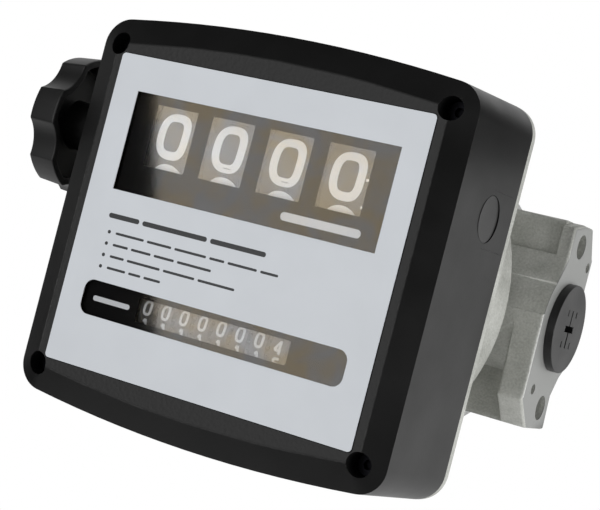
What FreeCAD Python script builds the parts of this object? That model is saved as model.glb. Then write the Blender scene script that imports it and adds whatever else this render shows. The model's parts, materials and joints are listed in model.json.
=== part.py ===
import FreeCAD, Part
import math
import os
from types import SimpleNamespace

import Sketcher

# Mechanical fuel flow meter with a nutating disc, a four-digit batch register and an eight-digit total.
# Frame: origin at the middle of the flat back face, +Z out through the dial, +Y up the dial, +X along the
# ports towards the outlet.  Lengths in millimetres, angles in degrees.

SIZES = {
    # Gaps
    "seat_gap": 0.3,
    "running_gap": 0.05,
    "gear_backlash": 0.12,
    # Casting: lower drum round the measuring chamber, upper drum round the gears, mounting plate
    "port_height": 44.5,
    "lower_drum_r": 66.0,
    "drum_step": 28.5,
    "chamber_bore_r": 53.5,
    "crank_space": 10.0,
    "crank_bore_r": 40.0,
    "web_thick": 6.5,
    "recess_r": 74.5,
    "recess_wall": 3.5,
    "recess_lip": 2.5,
    "recess_depth": 13.5,
    "plate_thick": 3.2,
    # Port arms and their flanges
    "flange_x": 92.0,
    "arm_start": 48.0,
    "arm_half_tall": 42.0,
    "arm_half_thick": 9.5,
    "boss_r": 24.0,
    "ear_thick": 5.5,
    "lobe_thick": 11.0,
    "ear_front": 11.5,
    "ear_back": 10.0,
    "flange_front": 24.0,
    "flange_back": 18.0,
    "flange_bevel": 2.5,
    "flange_corner": 11.0,
    "ear_bend_y": 27.5,
    "front_bend_y": 3.0,
    "back_bend_y": 10.0,
    "hood_low_y": 2.5,
    "port_r": 15.15,
    "port_depth": 20.0,
    "passage_r": 13.0,
    "flange_hole_r": 5.0,
    "flange_hole_y": 33.2,
    "flange_hole_depth": 16.0,
    "port_stud_hole_r": 2.1,
    "port_stud_y": 26.2,
    "port_stud_z": 14.5,
    "port_stud_depth": 10.0,
    # Back cover
    "back_cover_thick": 10.0,
    "spigot_wall": 7.0,
    "cover_screws": 8,
    "cover_screw_circle_r": 60.0,
    "cover_screw_r": 2.5,
    "cover_screw_head_r": 4.2,
    "cover_screw_head_tall": 4.5,
    "cover_screw_socket_r": 2.3,
    "cover_screw_bite": 12.0,
    "seal_thick": 2.2,
    "mount_hole_r": 2.1,
    "mount_hole_depth": 8.0,
    "mount_spacing_x": 60.0,
    "mount_spacing_y": 60.0,
    # Measuring chamber
    "chamber_half": 25.0,
    "disc_r": 46.0,
    "disc_thick": 3.0,
    "disc_tilt": 12.0,
    "ball_r": 13.0,
    "spindle_r": 3.0,
    "upper_eye_r": 9.2,
    "lower_eye_r": 4.0,
    "partition_thick": 2.0,
    "partition_half_tall": 14.0,
    "partition_bite": 3.0,
    "disc_slot": 5.2,
    "window_near_y": 36.0,
    "window_far_y": 12.0,
    "flow_window_half": 8.0,
    "window_deep": 22.0,
    "crank_r": 12.5,
    "crank_thick": 4.0,
    "output_shaft_r": 2.2,
    "shaft_seal_r": 8.0,
    "shaft_seal_thick": 4.0,
    # Gear train from the output shaft to the registers
    "module": 0.8,
    "pinion_teeth": 10,
    "wheel_teeth": 50,
    "gear_thick": 3.0,
    "gear_floor_gap": 2.0,
    "gear_stack_gap": 1.0,
    "arbor_r": 2.0,
    "arbor_bite": 3.0,
    "gear_plate_thick": 2.0,
    "gear_plate_gap": 1.5,
    "gear_plate_margin": 6.0,
    "gear_plate_high_y": -4.0,
    "left_post_x": -10.0,
    "left_post_y": -30.0,
    "low_post_x": 28.0,
    "low_post_y": -46.0,
    "right_post_x": 68.0,
    "right_post_y": -14.0,
    "post_r": 3.0,
    "bevel_module": 1.0,
    "bevel_pinion_teeth": 12,
    "bevel_wheel_teeth": 24,
    "bevel_face": 4.0,
    "bevel_hub_thick": 0.8,
    "drive_shaft_angle": 2.0,
    "batch_gear_module": 1.2,
    "batch_pinion_teeth": 25,
    "batch_gear_teeth": 50,
    "total_pinion_teeth": 12,
    "total_gear_teeth": 24,
    # Batch register
    "batch_y": 31.0,
    "batch_wheel_r": 31.5,
    "batch_pitch": 25.1,
    "batch_wheel_wide": 18.4,
    "batch_rim_thick": 2.2,
    "batch_web_thick": 2.0,
    "batch_hub_r": 7.0,
    "batch_shaft_r": 4.0,
    "batch_ring_r": 28.0,
    "batch_ring_teeth": 30,
    "transfer_teeth": 6,
    "batch_ring_wide": 2.7,
    "batch_cam_wide": 2.4,
    "batch_side_gap": 0.4,
    "transfer_shaft_r": 1.5,
    # Total register
    "total_y": -33.5,
    "total_wheel_r": 10.5,
    "total_pitch": 8.2,
    "total_centre_x": -0.8,
    "total_wheel_wide": 6.2,
    "total_shaft_r": 2.0,
    "total_ring_r": 9.0,
    "total_ring_teeth": 20,
    "total_transfer_teeth": 8,
    "total_transfer_shaft_r": 1.0,
    "total_notch": 1.0,
    "total_hub_r": 3.2,
    "total_ring_wide": 1.0,
    "total_cam_wide": 0.7,
    "total_side_gap": 0.2,
    "idler_teeth": 21,
    # Register frame
    "side_plate_thick": 1.5,
    "tie_rod_r": 2.0,
    "low_rod_y": -45.0,
    "low_rod_z": 124.0,
    "inner_rod_y": -30.0,
    "inner_rod_z": 111.0,
    "high_rods_y": 66.0,
    "back_rod_z": 106.0,
    "front_rod_z": 140.0,
    "side_plate_foot_y": 51.5,
    "side_plate_low_y": 62.0,
    "side_plate_top_y": 70.0,
    "side_plate_top_z": 150.0,
    "side_plate_step_z": 126.0,
    "side_plate_shoulder_y": 20.0,
    "side_plate_arch": 4.0,
    "inner_plate_low_y": 53.0,
    "inner_plate_high_y": 9.0,
    "inner_plate_low_z": 101.0,
    "inner_plate_shoulder_z": 133.0,
    # Front cover, window and dial
    "cover_depth": 50.2,
    "band_tall": 4.7,
    "joint_half_wide": 82.0,
    "edge_half_wide": 80.0,
    "face_half_wide": 70.1,
    "joint_corner_y": 74.7,
    "edge_corner_y": 72.7,
    "face_corner_y": 63.0,
    "joint_crown_y": 80.2,
    "edge_crown_y": 78.2,
    "face_crown_y": 67.7,
    "joint_corner_r": 12.0,
    "edge_corner_r": 11.0,
    "face_corner_r": 3.0,
    "cover_wall": 3.0,
    "window_half_wide": 67.3,
    "window_half_tall": 60.5,
    "window_corner_r": 1.5,
    "window_thick": 1.8,
    "window_proud": 0.4,
    "window_lip": 4.0,
    "label_thick": 0.3,
    "batch_panel_left": -56.0,
    "batch_panel_right": 57.0,
    "batch_panel_low": 8.4,
    "batch_panel_high": 46.7,
    "total_panel_half_wide": 57.2,
    "total_panel_half_tall": 6.7,
    "total_panel_r": 4.0,
    "dial_thick": 0.6,
    "wheel_to_dial": 0.8,
    "cover_bolt_x": 70.4,
    "cover_bolt_y": 63.5,
    "cover_bolt_r": 2.5,
    "cover_bolt_head_r": 4.0,
    "cover_bolt_head_tall": 5.0,
    "cover_bolt_bite": 9.0,
    "cover_bolt_seat": 10.0,
    "cover_bolt_socket_r": 2.0,
    "corner_well_r": 4.5,
    "corner_post_r": 8.5,
    "batch_aperture_low": 19.7,
    "batch_aperture_high": 43.4,
    "batch_aperture_wide": 18.4,
    "total_aperture_low": -37.9,
    "total_aperture_high": -29.0,
    "total_aperture_left": -33.0,
    "total_aperture_right": 33.0,
    # Reset knob and side blank
    "side_hole_r": 8.8,
    "knob_gap": 2.9,
    "knob_hub_r": 10.0,
    "knob_hub_long": 10.0,
    "knob_shaft_bite": 5.0,
    "knob_r": 28.6,
    "knob_taper": 1.0,
    "knob_thick": 12.5,
    "knob_wall": 3.0,
    "knob_lobes": 6,
    "scallop_r": 14.5,
    "scallop_depth": 3.3,
    "scallop_angle": 52.0,
    "bush_flange_thick": 1.5,
    "side_flange": 2.0,
    # Outlet port plug
    "plug_head_r": 18.0,
    "plug_head_thick": 3.5,
    "plug_wall": 2.2,
    "plug_shank_long": 11.0,
    "plug_socket_wide": 10.6,
    "plug_socket_tall": 2.5,
    "plug_slot_end": 7.6,
    "plug_slot_wide": 1.2,
    "plug_slot_deep": 1.2,
    "plug_mark_start": 5.1,
    "plug_mark_place": 5.2,
    "blank_sink": 0.1,
    # Inlet strainer
    "strainer_thick": 1.2,
    "strainer_hole": 3.2,
    "strainer_pitch": 4.6,
}


class Size:
    """A length, angle or count that keeps both its number and the expression that gives it."""

    def __init__(self, number, text):
        self.number = number
        self.text = text

    def joined(self, other, sign, number, other_first=False):
        """Return the Size that joins this one and other with sign."""
        left, right = self.text, text_of(other)
        if other_first:
            left, right = right, left
        return Size(number, f"({left} {sign} {right})")

    def __add__(self, other):
        return self.joined(other, "+", self.number + number_of(other))

    def __radd__(self, other):
        return self.joined(other, "+", number_of(other) + self.number, True)

    def __sub__(self, other):
        return self.joined(other, "-", self.number - number_of(other))

    def __rsub__(self, other):
        return self.joined(other, "-", number_of(other) - self.number, True)

    def __mul__(self, other):
        return self.joined(other, "*", self.number * number_of(other))

    def __rmul__(self, other):
        return self.joined(other, "*", number_of(other) * self.number, True)

    def __truediv__(self, other):
        return self.joined(other, "/", self.number / number_of(other))

    def __neg__(self):
        return Size(-self.number, f"(-{self.text})")

    def __float__(self):
        return float(self.number)


def number_of(value):
    """The plain number of a Size or a number."""
    return value.number if isinstance(value, Size) else value


def text_of(value):
    """The expression text of a Size or a number."""
    return value.text if isinstance(value, Size) else repr(float(value))


def root(value):
    """Square root of a Size."""
    return Size(math.sqrt(value.number), f"sqrt({value.text})")


def cosine(angle):
    """Cosine of an angle in degrees."""
    return Size(math.cos(math.radians(angle.number)), f"cos({angle.text})")


def sine(angle):
    """Sine of an angle in degrees."""
    return Size(math.sin(math.radians(angle.number)), f"sin({angle.text})")


def larger(first, second):
    """The larger of two Sizes."""
    return Size(max(first.number, second.number), f"max({first.text}; {second.text})")


def smaller(first, second):
    """The smaller of two Sizes."""
    return Size(min(first.number, second.number), f"min({first.text}; {second.text})")


def length_of(across, along):
    """Length of the vector (across, along)."""
    return root(across * across + along * along)


doc = FreeCAD.newDocument("FlowMeter")
sheet = doc.addObject("Spreadsheet::Sheet", "Sizes")
for row, (alias, value) in enumerate(SIZES.items(), start=1):
    sheet.set(f"A{row}", alias)
    sheet.set(f"B{row}", str(value))
    sheet.setAlias(f"B{row}", alias)
doc.recompute()
s = SimpleNamespace(**{alias: Size(sheet.get(alias), f"Sizes.{alias}") for alias in SIZES})


# ---------------------------------------------------------------- helpers

def bind(thing, name, value):
    """Bind a property to the expression of value."""
    thing.setExpression(name, text_of(value))


def new_body(label):
    """Start a PartDesign body with this label."""
    body = doc.addObject("PartDesign::Body", label)
    body.Label = label
    body.AllowCompound = True
    return body


def sketch_on(body, role, offset, *loops):
    """Sketch the closed loops on a plane of the body's origin, moved along its normal by offset.

    A loop is circle(...) or a list of corners (x, y) or (x, y, radius): the radius bends the edge that
    leaves that corner, outwards if it is positive.  Loops run counter-clockwise.
    """
    sketch = body.newObject("Sketcher::SketchObject", "Sketch")
    plane = next(feature for feature in body.Origin.OriginFeatures if feature.Role == role)
    sketch.AttachmentSupport = [(plane, "")]
    sketch.MapMode = "FlatFace"
    bind(sketch, "AttachmentOffset.Base.z", offset)
    for loop in loops:
        if isinstance(loop, SimpleNamespace):
            draw_circle(sketch, loop)
        else:
            draw_outline(sketch, loop)
    return sketch


def circle(x, y, radius):
    """A circle for sketch_on."""
    return SimpleNamespace(x=x, y=y, radius=radius)


def constrain(sketch, value, kind, *elements):
    """Add a dimension to a sketch and bind it to value."""
    index = sketch.addConstraint(Sketcher.Constraint(kind, *elements, number_of(value)))
    sketch.setExpression(f"Constraints[{index}]", text_of(value))


def draw_circle(sketch, loop):
    """Draw a circle held by its centre and radius."""
    centre = FreeCAD.Vector(number_of(loop.x), number_of(loop.y), 0)
    normal = FreeCAD.Vector(0, 0, 1)
    index = sketch.addGeometry(Part.Circle(centre, normal, number_of(loop.radius)), False)
    constrain(sketch, loop.radius, "Radius", index)
    constrain(sketch, loop.x, "DistanceX", -1, 1, index, 3)
    constrain(sketch, loop.y, "DistanceY", -1, 1, index, 3)


def bent_edge(start, end, radius):
    """Arc from start to end, bulging to the right of the way from start to end if radius is positive."""
    chord = end - start
    left = FreeCAD.Vector(-chord.y, chord.x, 0).normalize()
    rise = math.sqrt(max(radius * radius - chord.Length * chord.Length / 4, 0.0))
    centre = (start + end) * 0.5 + left * math.copysign(rise, radius)
    angles = [math.atan2(point.y - centre.y, point.x - centre.x) for point in (start, end)]
    if radius < 0:
        angles.reverse()
    return Part.ArcOfCircle(Part.Circle(centre, FreeCAD.Vector(0, 0, 1), abs(radius)), *angles)


def draw_outline(sketch, corners):
    """Draw a closed outline of straight and bent edges, each corner held by its two distances."""
    points = [FreeCAD.Vector(number_of(corner[0]), number_of(corner[1]), 0) for corner in corners]
    first = len(sketch.Geometry)
    ends = []
    for index, corner in enumerate(corners):
        start, end = points[index], points[(index + 1) % len(points)]
        bent = len(corner) > 2
        edge = bent_edge(start, end, number_of(corner[2])) if bent else Part.LineSegment(start, end)
        sketch.addGeometry(edge, False)
        ends.append((2, 1) if bent and number_of(corner[2]) < 0 else (1, 2))
    for index, corner in enumerate(corners):
        after = (index + 1) % len(corners)
        sketch.addConstraint(Sketcher.Constraint(
            "Coincident", first + index, ends[index][1], first + after, ends[after][0]))
        constrain(sketch, corner[0], "DistanceX", -1, 1, first + index, ends[index][0])
        constrain(sketch, corner[1], "DistanceY", -1, 1, first + index, ends[index][0])
        if len(corner) > 2:
            radius = corner[2] if number_of(corner[2]) > 0 else -corner[2]
            constrain(sketch, radius, "Radius", first + index)


def extrude(body, kind, sketch, length, reverse=False, both=False):
    """Pad or Pocket a sketch.  A Pad follows the plane's normal and a Pocket goes against it."""
    feature = body.newObject(f"PartDesign::{kind}", kind)
    feature.Profile = sketch
    bind(feature, "Length", length)
    feature.Reversed = reverse
    feature.Midplane = both
    sketch.Visibility = False
    return feature


def turned(body, kind, sketch, axis="V_Axis"):
    """Turn a sketch round one of its axes as a Revolution or a Groove."""
    feature = body.newObject(f"PartDesign::{kind}", kind)
    feature.Profile = sketch
    feature.ReferenceAxis = (sketch, [axis])
    feature.Angle = 360
    return feature


def lofted(body, kind, first, *others):
    """Straight-sided loft through sketches."""
    feature = body.newObject(f"PartDesign::{kind}", kind)
    feature.Profile = first
    feature.Sections = list(others)
    feature.Ruled = True
    return feature


def around(body, role, count, *features):
    """Repeat features evenly round an axis of the body's origin."""
    pattern = body.newObject("PartDesign::PolarPattern", "PolarPattern")
    axis = next(feature for feature in body.Origin.OriginFeatures if feature.Role == role)
    pattern.Originals = list(features)
    pattern.Axis = (axis, [""])
    pattern.Angle = 360
    bind(pattern, "Occurrences", count)
    body.Tip = pattern
    return pattern


def rectangle(low_x, low_y, high_x, high_y):
    """Corners of a rectangle."""
    return [(low_x, low_y), (high_x, low_y), (high_x, high_y), (low_x, high_y)]


def put(thing, x=0, y=0, z=0):
    """Bind the place of a piece."""
    for name, value in (("x", x), ("y", y), ("z", z)):
        bind(thing, f"Placement.Base.{name}", value)


def four_corners(x, y):
    """The four points (+-x, +-y)."""
    return [(x, y), (-x, y), (-x, -y), (x, -y)]


def hexagon(x, y, radius):
    """Corners of a hexagon about (x, y)."""
    turns = [math.radians(60 * side) for side in range(6)]
    return [(x + radius * math.cos(turn), y + radius * math.sin(turn)) for turn in turns]


# ---------------------------------------------------------------- levels and axes

BATCH_WHEELS = 4
TOTAL_WHEELS = 8
# A cut runs this far past the face that it leaves by.
OVERSHOOT = 1.0

chamber_low = s.port_height - s.chamber_half
chamber_top = s.port_height + s.chamber_half
cavity_top = chamber_top + s.crank_space
recess_floor = cavity_top + s.web_thick
plate_low = recess_floor + s.recess_depth
joint = plate_low + s.plate_thick
edge_level = joint + s.cover_depth
face_level = edge_level + s.band_tall
window_floor = face_level + s.window_proud - s.label_thick - s.window_thick
dial_low = window_floor - s.dial_thick
batch_z = dial_low - s.wheel_to_dial - s.batch_wheel_r
total_z = dial_low - s.wheel_to_dial - s.total_wheel_r

# The drive shaft runs parallel to X beside the batch register and turns both registers.
batch_centres = (s.batch_pinion_teeth + s.batch_gear_teeth) * s.batch_gear_module / 2
drive_y = s.batch_y - (batch_centres + s.gear_backlash) * cosine(s.drive_shaft_angle)
drive_z = batch_z + (batch_centres + s.gear_backlash) * sine(s.drive_shaft_angle)

# Places along X: the total register ends at its right plate, then come its gears, the bevel wheel, the
# upright arbor, the batch gears and the right side plate.
total_places = [s.total_centre_x + (place - (TOTAL_WHEELS - 1) / 2) * s.total_pitch
                for place in range(TOTAL_WHEELS)]
batch_places = [(place - (BATCH_WHEELS - 1) / 2) * s.batch_pitch for place in range(BATCH_WHEELS)]
total_right_x = total_places[-1] + s.total_wheel_wide / 2
inner_plate_x = total_right_x + s.seat_gap
total_gear_x = inner_plate_x + s.side_plate_thick + s.seat_gap
bevel_back_x = total_gear_x + s.gear_thick + s.seat_gap
bevel_pinion_r = s.bevel_pinion_teeth * s.bevel_module / 2
bevel_wheel_r = s.bevel_wheel_teeth * s.bevel_module / 2
upright_x = bevel_back_x + s.bevel_hub_thick + bevel_pinion_r
batch_gear_x = upright_x + bevel_pinion_r + s.bevel_module
side_plate_x = batch_gear_x + s.gear_thick + 2 * s.seat_gap

# Two spur pairs step the output shaft down to the upright arbor below the drive shaft.
train_centres = (s.pinion_teeth + s.wheel_teeth) * s.module / 2 + s.gear_backlash
upright_y = drive_y
upright_reach = length_of(upright_x, upright_y)
spread = root(train_centres * train_centres - upright_reach * upright_reach / 4)
middle_x = upright_x / 2 + spread * upright_y / upright_reach
middle_y = upright_y / 2 - spread * upright_x / upright_reach
first_gear_low = recess_floor + s.gear_floor_gap
second_gear_low = first_gear_low + s.gear_thick + s.gear_stack_gap
gear_plate_low = second_gear_low + s.gear_thick + s.gear_plate_gap


# ---------------------------------------------------------------- casting and back cover

def bowed_outline(half_wide, corner_y, crown_y, corner_r):
    """Rectangle with straight upright sides, crowned top and bottom, and round corners.

    The crown is an arc through (half_wide, corner_y) and (0, crown_y); the corner arcs touch the side
    and the crown arc from inside.
    """
    rise = crown_y - corner_y
    crown_r = (half_wide * half_wide + rise * rise) / (2 * rise)
    inner_r = crown_r - corner_r
    centre_x = half_wide - corner_r
    reach = root(inner_r * inner_r - centre_x * centre_x)
    side_y = crown_y - crown_r + reach
    touch_x = centre_x * (crown_r / inner_r)
    touch_y = crown_y - crown_r + reach * (crown_r / inner_r)
    return [
        (half_wide, -side_y),
        (half_wide, side_y, corner_r),
        (touch_x, touch_y, crown_r),
        (-touch_x, touch_y, corner_r),
        (-half_wide, side_y),
        (-half_wide, -side_y, corner_r),
        (-touch_x, -touch_y, crown_r),
        (touch_x, -touch_y, corner_r),
    ]


upper_drum_r = s.recess_r + s.recess_wall
cover_bolts = four_corners(s.cover_bolt_x, s.cover_bolt_y)
mount_holes = four_corners(s.mount_spacing_x / 2, s.mount_spacing_y / 2)
groove_low = s.back_cover_thick + s.seal_thick


def make_meter_body():
    """Die-cast body: two drums, mounting plate, two port arms, chamber bore and gear recess."""
    body = new_body("meter_body")
    step = s.port_height + s.drum_step
    chamfer = upper_drum_r - s.lower_drum_r
    profile = [
        (0, s.back_cover_thick), (s.lower_drum_r, s.back_cover_thick),
        (s.lower_drum_r, step - chamfer / 2), (upper_drum_r, step), (upper_drum_r, plate_low),
        (0, plate_low),
    ]
    turned(body, "Revolution", sketch_on(body, "XZ_Plane", 0, profile))
    plate = bowed_outline(s.joint_half_wide, s.joint_corner_y, s.joint_crown_y, s.joint_corner_r)
    extrude(body, "Pad", sketch_on(body, "XY_Plane", plate_low, plate), s.plate_thick)
    posts = [circle(x, y, s.corner_post_r) for x, y in cover_bolts]
    extrude(body, "Pad", sketch_on(body, "XY_Plane", plate_low, *posts), s.cover_bolt_bite - s.plate_thick,
            reverse=True)

    # One port arm: web, boss under a flat-fronted hood, flange ear and the thicker lobe; the other arm is
    # its half turn about Z.
    height = s.port_height
    low_web, high_web = height - s.arm_half_thick, height + s.arm_half_thick
    arm = extrude(body, "Pad", sketch_on(body, "YZ_Plane", s.arm_start, rectangle(
        -s.arm_half_tall, low_web, s.arm_half_tall, high_web)), s.flange_x - s.ear_thick - s.arm_start)
    boss = extrude(body, "Pad", sketch_on(body, "YZ_Plane", s.arm_start, circle(0, height, s.boss_r)),
                   s.flange_x - s.arm_start)
    hood_outline = [
        (-s.hood_low_y, height), (s.ear_bend_y, height), (s.ear_bend_y, height + s.ear_front),
        (s.front_bend_y, height + s.flange_front), (-s.hood_low_y, height + s.flange_front),
    ]
    hood = extrude(body, "Pad", sketch_on(body, "YZ_Plane", s.arm_start, hood_outline),
                   s.flange_x - s.arm_start)
    tall, corner = s.arm_half_tall, s.flange_corner
    flange = [
        (tall, height), (tall - s.flange_bevel, height + s.ear_front), (s.ear_bend_y, height + s.ear_front),
        (s.front_bend_y, height + s.flange_front), (corner - tall, height + s.flange_front),
        (-tall, height + s.ear_front), (-tall, height), (s.flange_bevel - tall, height - s.ear_back),
        (-s.ear_bend_y, height - s.ear_back), (-s.back_bend_y, height - s.flange_back),
        (tall - corner, height - s.flange_back), (tall, height - s.ear_back),
    ]
    ear = extrude(body, "Pad", sketch_on(body, "YZ_Plane", s.flange_x - s.ear_thick, flange), s.ear_thick)
    lobe = [
        (0, low_web), (0, height + s.flange_front), (corner - tall, height + s.flange_front),
        (-tall, height + s.ear_front), (-tall, low_web),
    ]
    lobe_block = extrude(body, "Pad", sketch_on(body, "YZ_Plane", s.flange_x - s.lobe_thick, lobe),
                         s.lobe_thick)
    port = extrude(body, "Pocket", sketch_on(body, "YZ_Plane", s.flange_x, circle(0, height, s.port_r)),
                   s.port_depth)
    passage = extrude(body, "Pocket", sketch_on(
        body, "YZ_Plane", s.flange_x, circle(0, height, s.passage_r)), s.flange_x - s.arm_start)
    bolts = [circle(y, height, s.flange_hole_r) for y in (-s.flange_hole_y, s.flange_hole_y)]
    bolt_holes = extrude(body, "Pocket", sketch_on(body, "YZ_Plane", s.flange_x, *bolts),
                         s.flange_hole_depth)
    studs = [circle(side * s.port_stud_y, height - side * s.port_stud_z, s.port_stud_hole_r)
             for side in (-1, 1)]
    stud_holes = extrude(body, "Pocket", sketch_on(body, "YZ_Plane", s.flange_x, *studs),
                         s.port_stud_depth)
    around(body, "Z_Axis", 2, arm, boss, hood, ear, lobe_block, port, passage, bolt_holes, stud_holes)

    # Bores: chamber from below, gear recess from above, output shaft and its seal through the web.
    extrude(body, "Pocket", sketch_on(body, "XY_Plane", chamber_top, circle(0, 0, s.chamber_bore_r)),
            chamber_top - s.back_cover_thick)
    extrude(body, "Pocket", sketch_on(body, "XY_Plane", cavity_top, circle(0, 0, s.crank_bore_r)),
            s.crank_space)
    extrude(body, "Pocket", sketch_on(body, "XY_Plane", joint, circle(0, 0, s.recess_r)),
            joint - recess_floor)
    extrude(body, "Pocket", sketch_on(body, "XY_Plane", joint, circle(
        0, 0, s.recess_r + s.recess_lip)), s.plate_thick)
    extrude(body, "Pocket", sketch_on(
        body, "XY_Plane", recess_floor, circle(0, 0, s.output_shaft_r + s.seat_gap)), s.web_thick)
    extrude(body, "Pocket", sketch_on(body, "XY_Plane", recess_floor, circle(0, 0, s.shaft_seal_r)),
            s.shaft_seal_thick)
    arbors = [circle(x, y, s.arbor_r + s.running_gap) for x, y in (
        (middle_x, middle_y), (upright_x, upright_y))]
    extrude(body, "Pocket", sketch_on(body, "XY_Plane", recess_floor, *arbors), s.arbor_bite)
    bolt_bores = [circle(x, y, s.cover_bolt_r + s.running_gap) for x, y in cover_bolts]
    extrude(body, "Pocket", sketch_on(body, "XY_Plane", joint, *bolt_bores), s.cover_bolt_bite)
    first_hole = extrude(body, "Pocket", sketch_on(
        body, "XY_Plane", s.back_cover_thick,
        circle(s.cover_screw_circle_r, 0, s.cover_screw_r + s.running_gap)), s.cover_screw_bite,
        reverse=True)
    around(body, "Z_Axis", s.cover_screws, first_hole)
    return body


def make_chamber_cover():
    """Back cover: flat plate with a hollow spigot that holds the chamber up, and blind fixing holes."""
    cover = new_body("chamber_cover")
    spigot_r = s.chamber_bore_r - s.seat_gap
    thick = s.back_cover_thick
    groove_high = groove_low + s.seal_thick + 2 * s.running_gap
    groove_r = s.chamber_bore_r - s.seal_thick - 2 * s.running_gap
    profile = [
        (0, 0), (s.lower_drum_r, 0), (s.lower_drum_r, thick), (spigot_r, thick), (spigot_r, groove_low),
        (groove_r, groove_low), (groove_r, groove_high), (spigot_r, groove_high),
        (spigot_r, chamber_low), (spigot_r - s.spigot_wall, chamber_low),
        (spigot_r - s.spigot_wall, thick), (0, thick),
    ]
    turned(cover, "Revolution", sketch_on(cover, "XZ_Plane", 0, profile))
    extrude(cover, "Pocket", sketch_on(cover, "XY_Plane", 0, *[
        circle(x, y, s.mount_hole_r) for x, y in mount_holes]), s.mount_hole_depth, reverse=True)
    hole = extrude(cover, "Pocket", sketch_on(
        cover, "XY_Plane", 0, circle(s.cover_screw_circle_r, 0, s.cover_screw_r + s.seat_gap)),
        thick, reverse=True)
    well = extrude(cover, "Pocket", sketch_on(
        cover, "XY_Plane", 0, circle(s.cover_screw_circle_r, 0, s.cover_screw_head_r + s.seat_gap)),
        s.cover_screw_head_tall + s.seat_gap, reverse=True)
    around(cover, "Z_Axis", s.cover_screws, hole, well)
    return cover


def make_cover_screws():
    """Socket-head screws that hold the back cover."""
    screws = new_body("chamber_cover_screws")
    seat = s.cover_screw_head_tall + s.seat_gap
    shank = extrude(screws, "Pad", sketch_on(
        screws, "XY_Plane", s.seat_gap, circle(s.cover_screw_circle_r, 0, s.cover_screw_r)),
        s.back_cover_thick + s.cover_screw_bite - 2 * s.seat_gap)
    head = extrude(screws, "Pad", sketch_on(
        screws, "XY_Plane", s.seat_gap, circle(s.cover_screw_circle_r, 0, s.cover_screw_head_r)),
        seat - s.seat_gap)
    socket = extrude(screws, "Pocket", sketch_on(
        screws, "XY_Plane", s.seat_gap, hexagon(s.cover_screw_circle_r, 0, s.cover_screw_socket_r)),
        s.cover_screw_head_tall / 2, reverse=True)
    around(screws, "Z_Axis", s.cover_screws, shank, head, socket)
    return screws


def make_cover_seal():
    """Square-section seal ring in the spigot's groove."""
    seal = new_body("chamber_cover_seal")
    outer_r = s.chamber_bore_r - s.running_gap
    turned(seal, "Revolution", sketch_on(seal, "XZ_Plane", 0, rectangle(
        outer_r - s.seal_thick, groove_low + s.running_gap, outer_r,
        groove_low + s.running_gap + s.seal_thick)))
    return seal


# ---------------------------------------------------------------- measuring chamber

slope = sine(s.disc_tilt) / cosine(s.disc_tilt)
cone_rise = (s.disc_thick / 2 + s.seat_gap) / cosine(s.disc_tilt)
sphere_r = s.disc_r + s.seat_gap
socket_r = s.ball_r + s.seat_gap
chamber_r = s.chamber_bore_r - s.seat_gap


crank_top = cavity_top - s.seat_gap
crank_low = crank_top - s.crank_thick
spindle_long = (crank_top - s.port_height) / cosine(s.disc_tilt) - s.spindle_r * slope - s.seat_gap


def on_cone(radius):
    """Point (r, z) where the chamber's cone meets a sphere of this radius about the disc's centre."""
    spread = 1 + slope * slope
    under = radius * radius * spread - cone_rise * cone_rise
    across = (root(under) - slope * cone_rise) / spread
    return across, across * slope + cone_rise


def make_chamber_half(label, eye_r, side):
    """One half of the measuring chamber, above (side 1) or below (side -1) the disc's centre."""
    half = new_body(label)
    outer_r, outer_z = on_cone(sphere_r)
    inner_r, inner_z = on_cone(socket_r)
    eye_z = root(socket_r * socket_r - eye_r * eye_r)
    top = s.chamber_half
    if side > 0:
        profile = [
            (chamber_r, 0), (chamber_r, top), (eye_r, top), (eye_r, eye_z, -socket_r),
            (inner_r, inner_z), (outer_r, outer_z, -sphere_r), (sphere_r, 0),
        ]
    else:
        profile = [
            (chamber_r, 0), (sphere_r, 0, -sphere_r), (outer_r, -outer_z), (inner_r, -inner_z, -socket_r),
            (eye_r, -eye_z), (eye_r, -top), (chamber_r, -top),
        ]
    turned(half, "Revolution", sketch_on(half, "XZ_Plane", 0, profile))
    slot_gap = s.partition_thick / 2 + s.running_gap
    slot_tall = s.partition_half_tall + s.running_gap
    slot = rectangle(-slot_gap, -(sphere_r + s.partition_bite + s.running_gap), slot_gap,
                     -(eye_r + OVERSHOOT))
    extrude(half, "Pocket", sketch_on(half, "XY_Plane", 0, slot), slot_tall, reverse=side > 0)
    for way in (-1, 1):
        low, high = (0, s.flow_window_half) if side > 0 else (-s.flow_window_half, 0)
        window = rectangle(-s.window_near_y, low, s.window_far_y, high)
        extrude(half, "Pocket", sketch_on(half, "YZ_Plane", way * (chamber_r + OVERSHOOT), window),
                s.window_deep, reverse=way < 0)
    put(half, z=s.port_height)
    return half


def make_partition_plate():
    """Radial plate between the inlet and outlet windows; the disc's slot straddles it."""
    plate = new_body("partition_plate")
    tall = s.partition_half_tall
    far = -(sphere_r + s.partition_bite)
    half_thick = s.partition_thick / 2
    ball_y = -root(socket_r * socket_r - half_thick * half_thick)
    outline = rectangle(far, -tall, ball_y, tall)
    extrude(plate, "Pad", sketch_on(plate, "YZ_Plane", 0, outline), s.partition_thick, both=True)
    extrude(plate, "Pocket", sketch_on(plate, "YZ_Plane", 0, circle(0, 0, socket_r)),
            s.partition_thick + OVERSHOOT, both=True)
    put(plate, z=s.port_height)
    return plate


def tilt(thing):
    """Lean a piece over towards +X by the disc's tilt."""
    thing.Placement.Rotation = FreeCAD.Rotation(FreeCAD.Vector(0, 1, 0), float(s.disc_tilt))
    bind(thing, "Placement.Rotation.Angle", s.disc_tilt)


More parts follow.
